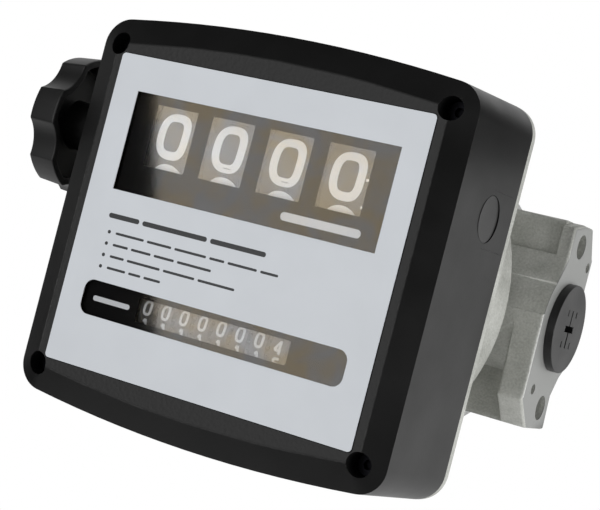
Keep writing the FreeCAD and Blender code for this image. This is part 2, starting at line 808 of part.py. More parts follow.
def make_nutating_disc():
    """Flat disc, ball and spindle in one piece, tilted so that the disc rolls between the cones."""
    disc = new_body("nutating_disc")
    half = s.disc_thick / 2
    ball_edge = root(s.ball_r * s.ball_r - half * half)
    rim_edge = root(s.disc_r * s.disc_r - half * half)
    neck = root(s.ball_r * s.ball_r - s.spindle_r * s.spindle_r)
    profile = [
        (0, -s.ball_r, s.ball_r), (ball_edge, -half), (rim_edge, -half, s.disc_r), (rim_edge, half),
        (ball_edge, half, s.ball_r), (s.spindle_r, neck), (s.spindle_r, spindle_long), (0, spindle_long),
    ]
    turned(disc, "Revolution", sketch_on(disc, "XZ_Plane", 0, profile))
    slot = rectangle(-s.disc_slot / 2, -(s.disc_r + OVERSHOOT), s.disc_slot / 2, -(s.ball_r + s.seat_gap / 2))
    extrude(disc, "Pocket", sketch_on(disc, "XY_Plane", 0, slot), s.disc_thick + OVERSHOOT, both=True)
    put(disc, z=s.port_height)
    tilt(disc)
    return disc


def make_drive_crank():
    """Disc on the output shaft with a slanted eye that the disc's spindle turns in."""
    blank = doc.addObject("Part::Cylinder", "crank_blank")
    bind(blank, "Radius", s.crank_r)
    bind(blank, "Height", s.crank_thick)
    put(blank, z=crank_low)
    eye = doc.addObject("Part::Cylinder", "crank_eye")
    bind(eye, "Radius", s.spindle_r + s.running_gap)
    bind(eye, "Height", spindle_long + s.crank_thick)
    put(eye, z=s.port_height)
    tilt(eye)
    crank = doc.addObject("Part::Cut", "drive_crank")
    crank.Label = "drive_crank"
    crank.Base = blank
    crank.Tool = eye
    return crank


def make_output_shaft():
    """Shaft from the crank up through the web to the first pinion."""
    shaft = new_body("output_shaft")
    top = first_gear_low + s.gear_thick + s.seat_gap
    extrude(shaft, "Pad", sketch_on(shaft, "XY_Plane", crank_top, circle(0, 0, s.output_shaft_r)),
            top - crank_top)
    return shaft


def make_shaft_seal():
    """Lip seal in the web round the output shaft."""
    seal = new_body("shaft_seal")
    profile = [
        (s.output_shaft_r + s.running_gap, 0), (s.shaft_seal_r - s.running_gap, 0),
        (s.shaft_seal_r - s.running_gap, s.shaft_seal_thick),
        (s.output_shaft_r + s.running_gap, s.shaft_seal_thick),
    ]
    turned(seal, "Revolution", sketch_on(seal, "XZ_Plane", 0, profile))
    put(seal, z=recess_floor - s.shaft_seal_thick)
    return seal


# ---------------------------------------------------------------- gears

TIP_RISE = 0.8
ROOT_DEPTH = 1.1
ROOT_SHARE = 0.29
TIP_SHARE = 0.11


def toothed_outline(teeth, module, turn=0.0, tip_rise=TIP_RISE, root_depth=ROOT_DEPTH):
    """Closed wire of straight-sided teeth round the Z axis, one tooth centred at the angle turn.

    Each tooth is ROOT_SHARE of the pitch angle wide to each side at its root and TIP_SHARE at its tip.
    """
    pitch_angle = 2 * math.pi / teeth
    pitch_r = teeth * module / 2
    tip_r, root_r = pitch_r + tip_rise * module, pitch_r - root_depth * module
    corners = ((root_r, -ROOT_SHARE), (tip_r, -TIP_SHARE), (tip_r, TIP_SHARE), (root_r, ROOT_SHARE))
    points = []
    for tooth in range(teeth):
        for radius, share in corners:
            angle = math.radians(turn) + (tooth + share) * pitch_angle
            points.append(FreeCAD.Vector(radius * math.cos(angle), radius * math.sin(angle), 0))
    return Part.makePolygon(points + points[:1])


def round_hole(radius):
    """Circle wire round the Z axis."""
    return Part.Wire(Part.makeCircle(radius))


def gear_blank(teeth, module, thick, bore_r, turn=0.0):
    """Spur gear from z = 0 to thick with a round bore."""
    face = Part.Face(toothed_outline(teeth, module, turn)).cut(Part.Face(round_hole(bore_r)))
    return face.extrude(FreeCAD.Vector(0, 0, thick)).Solids[0]


def bevel_blank(teeth, module, apex, face, bore_r, turn, tip_rise, root_depth):
    """Bevel teeth whose large end lies at z = 0 and whose cone comes to a point at z = apex."""
    large = toothed_outline(teeth, module, turn, tip_rise, root_depth)
    reach = math.hypot(apex, teeth * module / 2)
    share = 1 - face / reach
    small = toothed_outline(teeth, module * share, turn, tip_rise, root_depth)
    small.translate(FreeCAD.Vector(0, 0, apex * (1 - share)))
    solid = Part.makeLoft([large, small], True, True)
    return solid.cut(Part.makeCylinder(bore_r, apex, FreeCAD.Vector(0, 0, -apex / 4)))


def meshing_turn(own_teeth, other_teeth, other_turn, direction):
    """Angle of a tooth of this gear that meshes with a gear lying towards direction + 180 degrees.

    direction is the way from the other gear to this one.  A tooth of the other gear meets a gap here.
    """
    return (direction + 180 - 180 / own_teeth
            - other_teeth / own_teeth * (other_turn - direction))


def bearing(from_x, from_y, to_x, to_y):
    """Direction of one point seen from another, in degrees."""
    return math.degrees(math.atan2(float(to_y) - float(from_y), float(to_x) - float(from_x)))


ALONG_X = FreeCAD.Rotation(FreeCAD.Vector(1, 1, 1), 120)


def solid_piece(label, shape, rotation=FreeCAD.Rotation(), x=0, y=0, z=0):
    """Piece whose shape Part's functions make, placed by expressions."""
    piece = doc.addObject("Part::Feature", label)
    piece.Label = label
    piece.Shape = shape
    piece.Placement = FreeCAD.Placement(FreeCAD.Vector(), rotation)
    put(piece, x, y, z)
    return piece


module = float(s.module)
pinion_teeth, wheel_teeth = int(s.pinion_teeth.number), int(s.wheel_teeth.number)
gear_thick = float(s.gear_thick)
running_gap = float(s.running_gap)
arbor_bore = float(s.arbor_r) + running_gap
to_middle = bearing(0, 0, middle_x, middle_y)
to_upright = bearing(middle_x, middle_y, upright_x, upright_y)
middle_turn = meshing_turn(wheel_teeth, pinion_teeth, 0.0, to_middle)
upright_turn = meshing_turn(wheel_teeth, pinion_teeth, 0.0, to_upright)
gear_plate_top = gear_plate_low + s.gear_plate_thick


def make_gear_train():
    """Output pinion, intermediate gear on its fixed arbor, and the upright arbor's gear and bevels."""
    pinion_bore = float(s.output_shaft_r) + running_gap
    solid_piece("output_pinion", gear_blank(pinion_teeth, module, gear_thick, pinion_bore),
                z=first_gear_low)
    step = float(second_gear_low - first_gear_low)
    large = gear_blank(wheel_teeth, module, gear_thick, arbor_bore, middle_turn)
    small = gear_blank(pinion_teeth, module, step, arbor_bore)
    small.translate(FreeCAD.Vector(0, 0, gear_thick))
    solid_piece("intermediate_gear", large.fuse(small).removeSplitter(), x=middle_x, y=middle_y,
                z=first_gear_low)
    solid_piece("upright_gear", gear_blank(wheel_teeth, module, gear_thick, arbor_bore, upright_turn),
                x=upright_x, y=upright_y, z=second_gear_low)

    low = recess_floor - s.arbor_bite + s.seat_gap
    shaft = new_body("upright_shaft")
    top = drive_z - s.arbor_r - 2 * s.seat_gap
    extrude(shaft, "Pad", sketch_on(shaft, "XY_Plane", low, circle(upright_x, upright_y, s.arbor_r)),
            top - low)

    bevel_module, face = float(s.bevel_module), float(s.bevel_face)
    pinion_r, wheel_r = float(bevel_pinion_r), float(bevel_wheel_r)
    small_bevel = bevel_blank(int(s.bevel_pinion_teeth.number), bevel_module, wheel_r, face, arbor_bore,
                              0.0, 0.5, 1.0)
    solid_piece("bevel_pinion", small_bevel, x=upright_x, y=upright_y, z=drive_z - bevel_wheel_r)
    large_teeth = int(s.bevel_wheel_teeth.number)
    large_bevel = bevel_blank(large_teeth, bevel_module, pinion_r, face, arbor_bore,
                              270 + 180 / large_teeth, 0.7, 1.25)
    hub = tube(arbor_bore, wheel_r / 2, -float(s.bevel_hub_thick), 0)
    solid_piece("bevel_wheel", large_bevel.fuse(hub), ALONG_X, upright_x - bevel_pinion_r, drive_y,
                drive_z)


gear_posts = [(s.left_post_x, s.left_post_y), (s.low_post_x, s.low_post_y),
              (s.right_post_x, s.right_post_y)]


def make_gear_plate():
    """Plate over the gears that carries the upper ends of the arbors, on three posts."""
    plate = new_body("gear_plate")
    margin = s.gear_plate_margin
    outline = [
        (s.left_post_x - margin, s.left_post_y - margin), (s.low_post_x - margin, s.low_post_y - margin),
        (s.low_post_x + margin, s.low_post_y - margin),
        (s.right_post_x + margin / 2, s.right_post_y - margin),
        (s.right_post_x + margin / 2, s.right_post_y + margin),
        (upright_x + margin, s.gear_plate_high_y), (s.left_post_x + margin, s.gear_plate_high_y),
        (s.left_post_x - margin, s.left_post_y + margin),
    ]
    holes = [circle(middle_x, middle_y, s.arbor_r + s.running_gap),
             circle(upright_x, upright_y, s.arbor_r + s.running_gap)]
    holes += [circle(x, y, s.tie_rod_r + s.running_gap) for x, y in gear_posts]
    extrude(plate, "Pad", sketch_on(plate, "XY_Plane", gear_plate_low, outline, *holes),
            s.gear_plate_thick)


def make_gear_posts():
    """Shouldered posts of the gear plate and the fixed arbor of the intermediate gear."""
    posts = new_body("gear_plate_posts")
    low = recess_floor - s.arbor_bite + s.seat_gap
    arbor = circle(middle_x, middle_y, s.arbor_r)
    extrude(posts, "Pad", sketch_on(posts, "XY_Plane", low, arbor), gear_plate_top - low)
    wide = [circle(x, y, s.post_r) for x, y in gear_posts]
    thin = [circle(x, y, s.tie_rod_r) for x, y in gear_posts]
    extrude(posts, "Pad", sketch_on(posts, "XY_Plane", recess_floor, *wide),
            gear_plate_low - recess_floor)
    extrude(posts, "Pad", sketch_on(posts, "XY_Plane", gear_plate_low, *thin), s.gear_plate_thick)


# ---------------------------------------------------------------- registers

def tube(inner_r, outer_r, low, high):
    """Tube round the Z axis from low to high; a radius of 0 inside leaves it solid."""
    solid = Part.makeCylinder(outer_r, high - low, FreeCAD.Vector(0, 0, low))
    if inner_r:
        solid = solid.cut(Part.makeCylinder(inner_r, high - low, FreeCAD.Vector(0, 0, low)))
    return solid


def number_wheel(wheel_r, wide, rim, web, hub_r, bore_r, ring_r, ring_teeth, ring_wide, cam_wide):
    """Number wheel round the Z axis, centred on z = 0.

    It is a cup with its web on the +z side; a web as thick as the wheel makes it solid.  A ring of teeth
    for the transfer pinion stands out of the +z side and a smooth locking ring with a notch out of the
    -z side; a width of 0 leaves either away.
    """
    half = wide / 2
    ring_module = 2 * ring_r / ring_teeth
    cam_r = ring_r - TIP_RISE * ring_module - float(s.seat_gap)
    hollow = web < wide
    wheel = tube(0, wheel_r, -half, half)
    if hollow:
        wheel = wheel.cut(tube(hub_r, wheel_r - rim, -half, half - web))
    if ring_wide:
        ring = Part.Face(toothed_outline(ring_teeth, ring_module)).extrude(FreeCAD.Vector(0, 0, ring_wide))
        ring.translate(FreeCAD.Vector(0, 0, half))
        wheel = wheel.fuse(ring)
    if cam_wide:
        cam = tube(cam_r - rim if hollow else 0, cam_r, -half - cam_wide, half - web)
        notch = Part.makeBox(rim, rim, cam_wide, FreeCAD.Vector(cam_r - rim / 2, -rim / 2, -half - cam_wide))
        wheel = wheel.fuse(cam.cut(notch))
    return wheel.cut(tube(0, bore_r, -half - cam_wide, half + ring_wide)).removeSplitter()


transfer_module = 2 * s.batch_ring_r / s.batch_ring_teeth
batch_transfer_y = s.batch_y + s.batch_ring_r + s.transfer_teeth * transfer_module / 2 + s.gear_backlash
total_ring_module = 2 * s.total_ring_r / s.total_ring_teeth
total_transfer_y = (s.total_y - s.total_ring_r - s.total_transfer_teeth * total_ring_module / 2
                    - s.gear_backlash)
transfer_low = s.batch_wheel_wide / 2 + s.batch_side_gap
transfer_wide = s.batch_pitch - s.batch_wheel_wide - 2 * s.batch_side_gap
total_transfer_low = s.total_wheel_wide / 2 + s.total_side_gap
total_transfer_wide = s.total_pitch - s.total_wheel_wide - 2 * s.total_side_gap
left_plate_x = total_places[0] - s.total_wheel_wide / 2 - s.seat_gap - s.side_plate_thick

# The idler between the drive shaft and the total register sits where its two centre distances meet.
idler_to_drive = (s.total_pinion_teeth + s.idler_teeth) * s.module / 2 + s.gear_backlash
idler_to_total = (s.total_gear_teeth + s.idler_teeth) * s.module / 2 + s.gear_backlash
reach_y = s.total_y - drive_y
reach_z = total_z - drive_z
reach = length_of(reach_y, reach_z)
along = (idler_to_drive * idler_to_drive - idler_to_total * idler_to_total + reach * reach) / (2 * reach)
aside = root(idler_to_drive * idler_to_drive - along * along)
idler_y = drive_y + (reach_y * along - reach_z * aside) / reach
idler_z = drive_z + (reach_z * along + reach_y * aside) / reach


def make_batch_register():
    """Four batch wheels, the gear beside the units wheel, their transfer pinions and shafts."""
    measures = [float(size) for size in (
        s.batch_wheel_r, s.batch_wheel_wide, s.batch_rim_thick, s.batch_web_thick, s.batch_hub_r,
        s.batch_shaft_r + s.running_gap, s.batch_ring_r)]
    teeth = int(s.batch_ring_teeth.number)
    ring_wide, cam_wide = float(s.batch_ring_wide), float(s.batch_cam_wide)
    first = number_wheel(*measures, teeth, ring_wide, 0)
    middle = number_wheel(*measures, teeth, ring_wide, cam_wide)
    last = number_wheel(*measures, teeth, 0, cam_wide)
    for count, (place, shape) in enumerate(zip(batch_places, (first, middle, middle, last)), start=1):
        solid_piece(f"batch_wheel_{count}", shape, ALONG_X, place, s.batch_y, batch_z)

    gear_turn = meshing_turn(int(s.batch_gear_teeth.number), int(s.batch_pinion_teeth.number), 0.0,
                             bearing(drive_y, drive_z, s.batch_y, batch_z))
    bore = float(s.batch_shaft_r + s.running_gap)
    gear = gear_blank(int(s.batch_gear_teeth.number), float(s.batch_gear_module), gear_thick, bore,
                      gear_turn)
    hub_long = float(batch_gear_x - batch_places[3] - s.batch_wheel_wide / 2 - s.seat_gap)
    hub = tube(bore, float(s.batch_hub_r), -hub_long, 0)
    solid_piece("batch_gear", gear.fuse(hub), ALONG_X, batch_gear_x, s.batch_y, batch_z)

    pinion_teeth_count = int(s.transfer_teeth.number)
    turn = meshing_turn(pinion_teeth_count, teeth, 0.0, 0.0)
    pinion = gear_blank(pinion_teeth_count, float(transfer_module), float(transfer_wide),
                        float(s.transfer_shaft_r + s.running_gap), turn)
    for count, place in enumerate(batch_places[:3], start=1):
        solid_piece(f"batch_transfer_{count}", pinion, ALONG_X, place + transfer_low, batch_transfer_y,
                    batch_z)
    span = side_plate_x + s.side_plate_thick
    shaft = new_body("batch_shaft")
    low = knob_face_x + s.knob_shaft_bite
    extrude(shaft, "Pad", sketch_on(shaft, "YZ_Plane", -low, circle(
        s.batch_y, batch_z, s.batch_shaft_r)), low + span)


def make_total_register():
    """Eight total wheels with their shaft, transfer pinions and the gear beside the units wheel."""
    bore = float(s.total_shaft_r + s.running_gap)
    measures = [float(size) for size in (
        s.total_wheel_r, s.total_wheel_wide, s.total_notch, s.total_wheel_wide, s.total_hub_r,
        s.total_shaft_r + s.running_gap, s.total_ring_r)]
    teeth = int(s.total_ring_teeth.number)
    ring_wide, cam_wide = float(s.total_ring_wide), float(s.total_cam_wide)
    first = number_wheel(*measures, teeth, ring_wide, 0)
    middle = number_wheel(*measures, teeth, ring_wide, cam_wide)
    last = number_wheel(*measures, teeth, 0, cam_wide)
    for count, place in enumerate(total_places[:-1], start=1):
        shape = first if count == 1 else middle
        solid_piece(f"total_wheel_{count}", shape, ALONG_X, place, s.total_y, total_z)

    idler_count, gear_count = int(s.idler_teeth.number), int(s.total_gear_teeth.number)
    idler_turn = meshing_turn(idler_count, int(s.total_pinion_teeth.number), 0.0,
                              bearing(drive_y, drive_z, idler_y, idler_z))
    gear_turn = meshing_turn(gear_count, idler_count, idler_turn,
                             bearing(idler_y, idler_z, s.total_y, total_z))
    gear = gear_blank(gear_count, module, gear_thick, bore, gear_turn)
    sleeve_long = float(total_gear_x - total_places[-1])
    sleeve = tube(bore, float(s.total_hub_r), 0, sleeve_long)
    gear.translate(FreeCAD.Vector(0, 0, sleeve_long))
    solid_piece(f"total_wheel_{len(total_places)}", last.fuse([sleeve, gear]).removeSplitter(), ALONG_X,
                total_places[-1], s.total_y, total_z)
    idler = gear_blank(idler_count, module, gear_thick, float(s.tie_rod_r + s.running_gap), idler_turn)
    solid_piece("total_idler", idler, ALONG_X, total_gear_x, idler_y, idler_z)

    count_teeth = int(s.total_transfer_teeth.number)
    turn = meshing_turn(count_teeth, teeth, 0.0, 180.0)
    pinion = gear_blank(count_teeth, float(total_ring_module), float(total_transfer_wide),
                        float(s.total_transfer_shaft_r + s.running_gap), turn)
    for count, place in enumerate(total_places[:-1], start=1):
        solid_piece(f"total_transfer_{count}", pinion, ALONG_X, place + total_transfer_low,
                    total_transfer_y, total_z)
    shaft = new_body("total_shaft")
    extrude(shaft, "Pad", sketch_on(shaft, "YZ_Plane", left_plate_x, circle(
        s.total_y, total_z, s.total_shaft_r)), total_gear_x + s.gear_thick - left_plate_x)


def make_drive_shaft():
    """Drive shaft along X with the batch pinion and the total pinion made in one piece with it."""
    low = inner_plate_x
    shaft = Part.makeCylinder(float(s.arbor_r), float(side_plate_x + s.side_plate_thick - low))
    batch_pinion = Part.Face(toothed_outline(int(s.batch_pinion_teeth.number), float(
        s.batch_gear_module))).extrude(FreeCAD.Vector(0, 0, gear_thick))
    batch_pinion.translate(FreeCAD.Vector(0, 0, float(batch_gear_x - low)))
    total_pinion = Part.Face(toothed_outline(int(s.total_pinion_teeth.number), module)).extrude(
        FreeCAD.Vector(0, 0, gear_thick))
    total_pinion.translate(FreeCAD.Vector(0, 0, float(total_gear_x - low)))
    solid_piece("drive_shaft", shaft.fuse([batch_pinion, total_pinion]).removeSplitter(), ALONG_X, low,
                drive_y, drive_z)


tie_rods = [(s.low_rod_y, s.low_rod_z), (s.inner_rod_y, s.inner_rod_z), (s.high_rods_y, s.back_rod_z),
            (s.high_rods_y, s.front_rod_z)]


def make_register_frame():
    """Outer and inner register plates, the idler's stud, the tie rods and the transfer arbors."""
    bearings = [circle(s.batch_y, batch_z, s.batch_shaft_r + s.running_gap),
                circle(batch_transfer_y, batch_z, s.transfer_shaft_r + s.running_gap)]
    rods = [circle(y, z, s.tie_rod_r + s.running_gap) for y, z in tie_rods]
    outline = [(s.side_plate_foot_y, joint), (s.side_plate_top_y, joint),
               (s.side_plate_top_y, s.side_plate_top_z), (-s.side_plate_shoulder_y, s.side_plate_top_z),
               (-s.side_plate_low_y, s.side_plate_step_z), (-s.side_plate_low_y, joint),
               (-s.side_plate_foot_y, joint), (-s.side_plate_foot_y, joint + s.side_plate_arch),
               (s.side_plate_foot_y, joint + s.side_plate_arch)]
    outline = outline[1:] + outline[:1]
    outer = new_body("side_register_plates")
    extrude(outer, "Pad", sketch_on(outer, "YZ_Plane", -side_plate_x, outline, *bearings, *rods),
            s.side_plate_thick, reverse=True)
    drive = circle(drive_y, drive_z, s.arbor_r + s.running_gap)
    extrude(outer, "Pad", sketch_on(outer, "YZ_Plane", side_plate_x, outline, *bearings, *rods, drive),
            s.side_plate_thick)

    inner = new_body("total_register_plates")
    plate = [(-s.inner_plate_low_y, s.inner_plate_low_z), (-s.inner_plate_high_y, s.inner_plate_low_z),
             (-s.inner_plate_high_y, s.inner_plate_shoulder_z),
             (s.total_y + s.total_wheel_r, s.side_plate_top_z), (-s.inner_plate_low_y, s.side_plate_top_z)]
    axle = circle(s.total_y, total_z, s.total_shaft_r + s.running_gap)
    sleeve = circle(s.total_y, total_z, s.total_hub_r + s.running_gap)
    arbor = circle(total_transfer_y, total_z, s.total_transfer_shaft_r + s.running_gap)
    near = rods[:2]
    extrude(inner, "Pad", sketch_on(inner, "YZ_Plane", left_plate_x, plate, axle, arbor, *near),
            s.side_plate_thick)
    extrude(inner, "Pad", sketch_on(inner, "YZ_Plane", inner_plate_x, plate, sleeve, arbor, *near, drive),
            s.side_plate_thick)
    extrude(inner, "Pad", sketch_on(inner, "YZ_Plane", inner_plate_x + s.side_plate_thick, circle(
        idler_y, idler_z, s.tie_rod_r)), s.gear_thick + s.seat_gap)

    ties = new_body("register_rods")
    span = side_plate_x + s.side_plate_thick
    long_rods = [circle(y, z, s.tie_rod_r) for y, z in tie_rods]
    long_rods.append(circle(batch_transfer_y, batch_z, s.transfer_shaft_r))
    extrude(ties, "Pad", sketch_on(ties, "YZ_Plane", -span, *long_rods), 2 * span)
    extrude(ties, "Pad", sketch_on(ties, "YZ_Plane", left_plate_x, circle(
        total_transfer_y, total_z, s.total_transfer_shaft_r)),
        inner_plate_x + s.side_plate_thick - left_plate_x)


# ---------------------------------------------------------------- front cover group

def side_wall(level):
    """Half width of the cover's outside at a level."""
    return s.joint_half_wide + (s.edge_half_wide - s.joint_half_wide) * ((level - joint) / s.cover_depth)


# The drafted side wall is widest or narrowest at one edge of the bush's and the blank's flanges.
side_flange_r = s.side_hole_r + s.side_flange
wall_ends = side_wall(batch_z - side_flange_r), side_wall(batch_z + side_flange_r)
bush_seat = larger(*wall_ends) + s.running_gap
blank_seat = smaller(*wall_ends) - s.cover_wall - s.seat_gap
knob_face_x = bush_seat + s.bush_flange_thick + s.knob_gap
bolt_seat = edge_level - s.cover_bolt_seat


def rounded(half_x, half_y, radius, y=0):
    """Rectangle with round corners about (0, y)."""
    near_x, low, high = half_x - radius, y - half_y, y + half_y
    return [(near_x, low, radius), (half_x, low + radius), (half_x, high - radius, radius), (near_x, high),
            (-near_x, high, radius), (-half_x, high - radius), (-half_x, low + radius, radius),
            (-near_x, low)]


def make_front_cover():
    """Moulded cover over the registers: drafted walls, bevelled band, window seat, corner wells."""
    cover = new_body("front_cover")
    wall = s.cover_wall

    def bowed_sketch(level, half_wide, corner_y, crown_y, corner_r, inset):
        return sketch_on(cover, "XY_Plane", level, bowed_outline(
            half_wide - inset, corner_y - inset, crown_y - inset, corner_r - inset))

    joint_sizes = s.joint_half_wide, s.joint_corner_y, s.joint_crown_y, s.joint_corner_r
    edge_sizes = s.edge_half_wide, s.edge_corner_y, s.edge_crown_y, s.edge_corner_r
    face_sizes = s.face_half_wide, s.face_corner_y, s.face_crown_y, s.face_corner_r
    lofted(cover, "AdditiveLoft", bowed_sketch(joint, *joint_sizes, 0),
           bowed_sketch(edge_level, *edge_sizes, 0))
    lofted(cover, "AdditiveLoft", bowed_sketch(edge_level, *edge_sizes, 0),
           bowed_sketch(face_level, *face_sizes, 0))
    lofted(cover, "SubtractiveLoft", bowed_sketch(joint, *joint_sizes, wall),
           bowed_sketch(edge_level, *edge_sizes, wall))
    posts = [circle(x, y, s.corner_post_r) for x, y in cover_bolts]
    extrude(cover, "Pad", sketch_on(cover, "XY_Plane", joint, *posts), s.cover_depth)
    extrude(cover, "Pocket", sketch_on(cover, "XY_Plane", face_level, rounded(
        s.window_half_wide, s.window_half_tall, s.window_corner_r)), face_level - window_floor)
    opening = rounded(s.window_half_wide - s.window_lip, s.window_half_tall - s.window_lip,
                      s.window_corner_r)
    extrude(cover, "Pocket", sketch_on(cover, "XY_Plane", window_floor, opening),
            window_floor - edge_level + OVERSHOOT)
    wells = [circle(x, y, s.corner_well_r) for x, y in cover_bolts]
    extrude(cover, "Pocket", sketch_on(cover, "XY_Plane", face_level, *wells), face_level - bolt_seat)
    bores = [circle(x, y, s.cover_bolt_r + s.seat_gap) for x, y in cover_bolts]
    extrude(cover, "Pocket", sketch_on(cover, "XY_Plane", bolt_seat, *bores), bolt_seat - joint)
    for way in (-1, 1):
        hole = circle(s.batch_y, batch_z, s.side_hole_r)
        extrude(cover, "Pocket", sketch_on(cover, "YZ_Plane", way * bush_seat, hole),
                bush_seat - blank_seat, reverse=way < 0)


def make_front_cover_screws():
    """Four long screws through the corner posts."""
    screws = new_body("front_cover_screws")
    low = joint - s.cover_bolt_bite + s.seat_gap
    extrude(screws, "Pad", sketch_on(screws, "XY_Plane", low, *[
        circle(x, y, s.cover_bolt_r) for x, y in cover_bolts]), bolt_seat - low)
    extrude(screws, "Pad", sketch_on(screws, "XY_Plane", bolt_seat, *[
        circle(x, y, s.cover_bolt_head_r) for x, y in cover_bolts]), s.cover_bolt_head_tall)
    extrude(screws, "Pocket", sketch_on(screws, "XY_Plane", bolt_seat + s.cover_bolt_head_tall, *[
        hexagon(x, y, s.cover_bolt_socket_r) for x, y in cover_bolts]), s.cover_bolt_head_tall / 2)


def make_window_and_dial():
    """Label, the clear window it is stuck to, and the dial card below with the wheels' openings."""
    gap = s.seat_gap
    label = new_body("dial_label")
    sheet_edge = rounded(s.window_half_wide - gap, s.window_half_tall - gap, s.window_corner_r)
    batch_panel = rectangle(s.batch_panel_left, s.batch_panel_low, s.batch_panel_right,
                            s.batch_panel_high)
    total_panel = rounded(s.total_panel_half_wide, s.total_panel_half_tall, s.total_panel_r, s.total_y)
    extrude(label, "Pad", sketch_on(label, "XY_Plane", window_floor + s.window_thick, sheet_edge,
                                    batch_panel, total_panel), s.label_thick)
    window = new_body("dial_window")
    extrude(window, "Pad", sketch_on(window, "XY_Plane", window_floor, rounded(
        s.window_half_wide - gap, s.window_half_tall - gap, s.window_corner_r)), s.window_thick)
    card = new_body("dial_card")
    edge = rounded(s.window_half_wide - s.window_lip - gap, s.window_half_tall - s.window_lip - gap,
                   s.window_corner_r)
    half = s.batch_aperture_wide / 2
    openings = [rectangle(place - half, s.batch_aperture_low, place + half, s.batch_aperture_high)
                for place in batch_places]
    openings.append(rectangle(s.total_aperture_left, s.total_aperture_low, s.total_aperture_right,
                              s.total_aperture_high))
    extrude(card, "Pad", sketch_on(card, "XY_Plane", dial_low, edge, *openings), s.dial_thick)


def lobed_outline(radius, valley_r, scallop_r):
    """Circle of this radius with a round scallop, cut in to valley_r, between every two lobes."""
    away = valley_r + scallop_r
    near = (radius * radius + away * away - scallop_r * scallop_r) / (2 * radius * away)
    side = root(1 - near * near)
    lobes = int(s.knob_lobes.number)
    corners = []
    for lobe in range(lobes):
        turn = s.scallop_angle + 360 * lobe / lobes
        across, along = cosine(turn), sine(turn)
        corners.append((radius * (across * near + along * side), radius * (along * near - across * side),
                        -scallop_r))
        corners.append((radius * (across * near - along * side), radius * (along * near + across * side),
                        radius))
    return corners


def make_reset_knob():
    """Six-lobed cup, open towards the cover, with a round hub on the batch shaft."""
    knob = new_body("reset_knob")
    rim_x = knob_face_x + s.knob_hub_long
    radius, valley_r, scallop_r = s.knob_r, s.knob_r - s.scallop_depth, s.scallop_r
    taper, wall = s.knob_taper, s.knob_wall
    rim = sketch_on(knob, "YZ_Plane", -rim_x, lobed_outline(radius, valley_r, scallop_r))
    face = sketch_on(knob, "YZ_Plane", -rim_x - s.knob_thick, lobed_outline(
        radius - taper, valley_r - taper, scallop_r))
    lofted(knob, "AdditiveLoft", rim, face)
    extrude(knob, "Pocket", sketch_on(knob, "YZ_Plane", -rim_x, lobed_outline(
        radius - wall, valley_r - wall, scallop_r + wall)), s.knob_thick - wall)
    extrude(knob, "Pad", sketch_on(knob, "YZ_Plane", -knob_face_x, circle(0, 0, s.knob_hub_r)),
            s.knob_hub_long + s.knob_thick - wall, reverse=True)
    extrude(knob, "Pocket", sketch_on(knob, "YZ_Plane", -knob_face_x, circle(
        0, 0, s.batch_shaft_r + s.running_gap)), s.knob_shaft_bite + s.seat_gap)
    put(knob, y=s.batch_y, z=batch_z)


def make_knob_bush():
    """Flanged bush in the cover's left wall that carries the batch shaft."""
    bush = new_body("knob_bush")
    depth = bush_seat - blank_seat + s.bush_flange_thick
    extrude(bush, "Pad", sketch_on(bush, "YZ_Plane", -bush_seat, circle(0, 0, side_flange_r)),
            s.bush_flange_thick, reverse=True)
    extrude(bush, "Pad", sketch_on(bush, "YZ_Plane", -bush_seat, circle(0, 0, s.side_hole_r - s.seat_gap)),
            depth)
    extrude(bush, "Pocket", sketch_on(bush, "YZ_Plane", depth - bush_seat, circle(
        0, 0, s.batch_shaft_r + s.running_gap)), depth + s.bush_flange_thick)
    put(bush, y=s.batch_y, z=batch_z)


def make_side_blank():
    """Plain blank in the right wall where a second knob could go, flush outside and flanged inside."""
    blank = new_body("side_blank")
    outer = side_wall(batch_z) - s.blank_sink
    extrude(blank, "Pad", sketch_on(blank, "YZ_Plane", outer, circle(0, 0, s.side_hole_r - s.running_gap)),
            outer - blank_seat, reverse=True)
    extrude(blank, "Pad", sketch_on(blank, "YZ_Plane", blank_seat, circle(0, 0, side_flange_r)),
            s.bush_flange_thick, reverse=True)
    put(blank, y=s.batch_y, z=batch_z)


def make_port_plug():
    """Shipping plug in the outlet port: flat head with a socket, a slit and four marks, hollow shank."""
    plug = new_body("outlet_port_plug")
    shank_r = s.port_r - s.seat_gap
    extrude(plug, "Pad", sketch_on(plug, "YZ_Plane", 0, circle(0, 0, s.plug_head_r)), s.plug_head_thick)
    extrude(plug, "Pad", sketch_on(plug, "YZ_Plane", 0, circle(0, 0, shank_r)), s.plug_shank_long,
            reverse=True)
    hollow = circle(0, 0, shank_r - s.plug_wall)
    extrude(plug, "Pocket", sketch_on(plug, "YZ_Plane", -s.plug_shank_long, hollow),
            s.plug_shank_long - s.plug_wall, reverse=True)
    half_wide, half_tall, half_slot = s.plug_socket_wide / 2, s.plug_socket_tall / 2, s.plug_slot_wide / 2
    socket = rectangle(-half_tall, -half_wide, half_tall, half_wide)
    extrude(plug, "Pocket", sketch_on(plug, "YZ_Plane", s.plug_head_thick, socket), s.plug_head_thick)
    lines = [rectangle(-s.plug_slot_end, -half_slot, s.plug_slot_end, half_slot)]
    for place in (-s.plug_mark_place, s.plug_mark_place):
        lines.append(rectangle(s.plug_mark_start, place - half_slot, s.plug_slot_end, place + half_slot))
        lines.append(rectangle(-s.plug_slot_end, place - half_slot, -s.plug_mark_start, place + half_slot))
    extrude(plug, "Pocket", sketch_on(plug, "YZ_Plane", s.plug_head_thick, *lines), s.plug_slot_deep)
    put(plug, s.flange_x, 0, s.port_height)


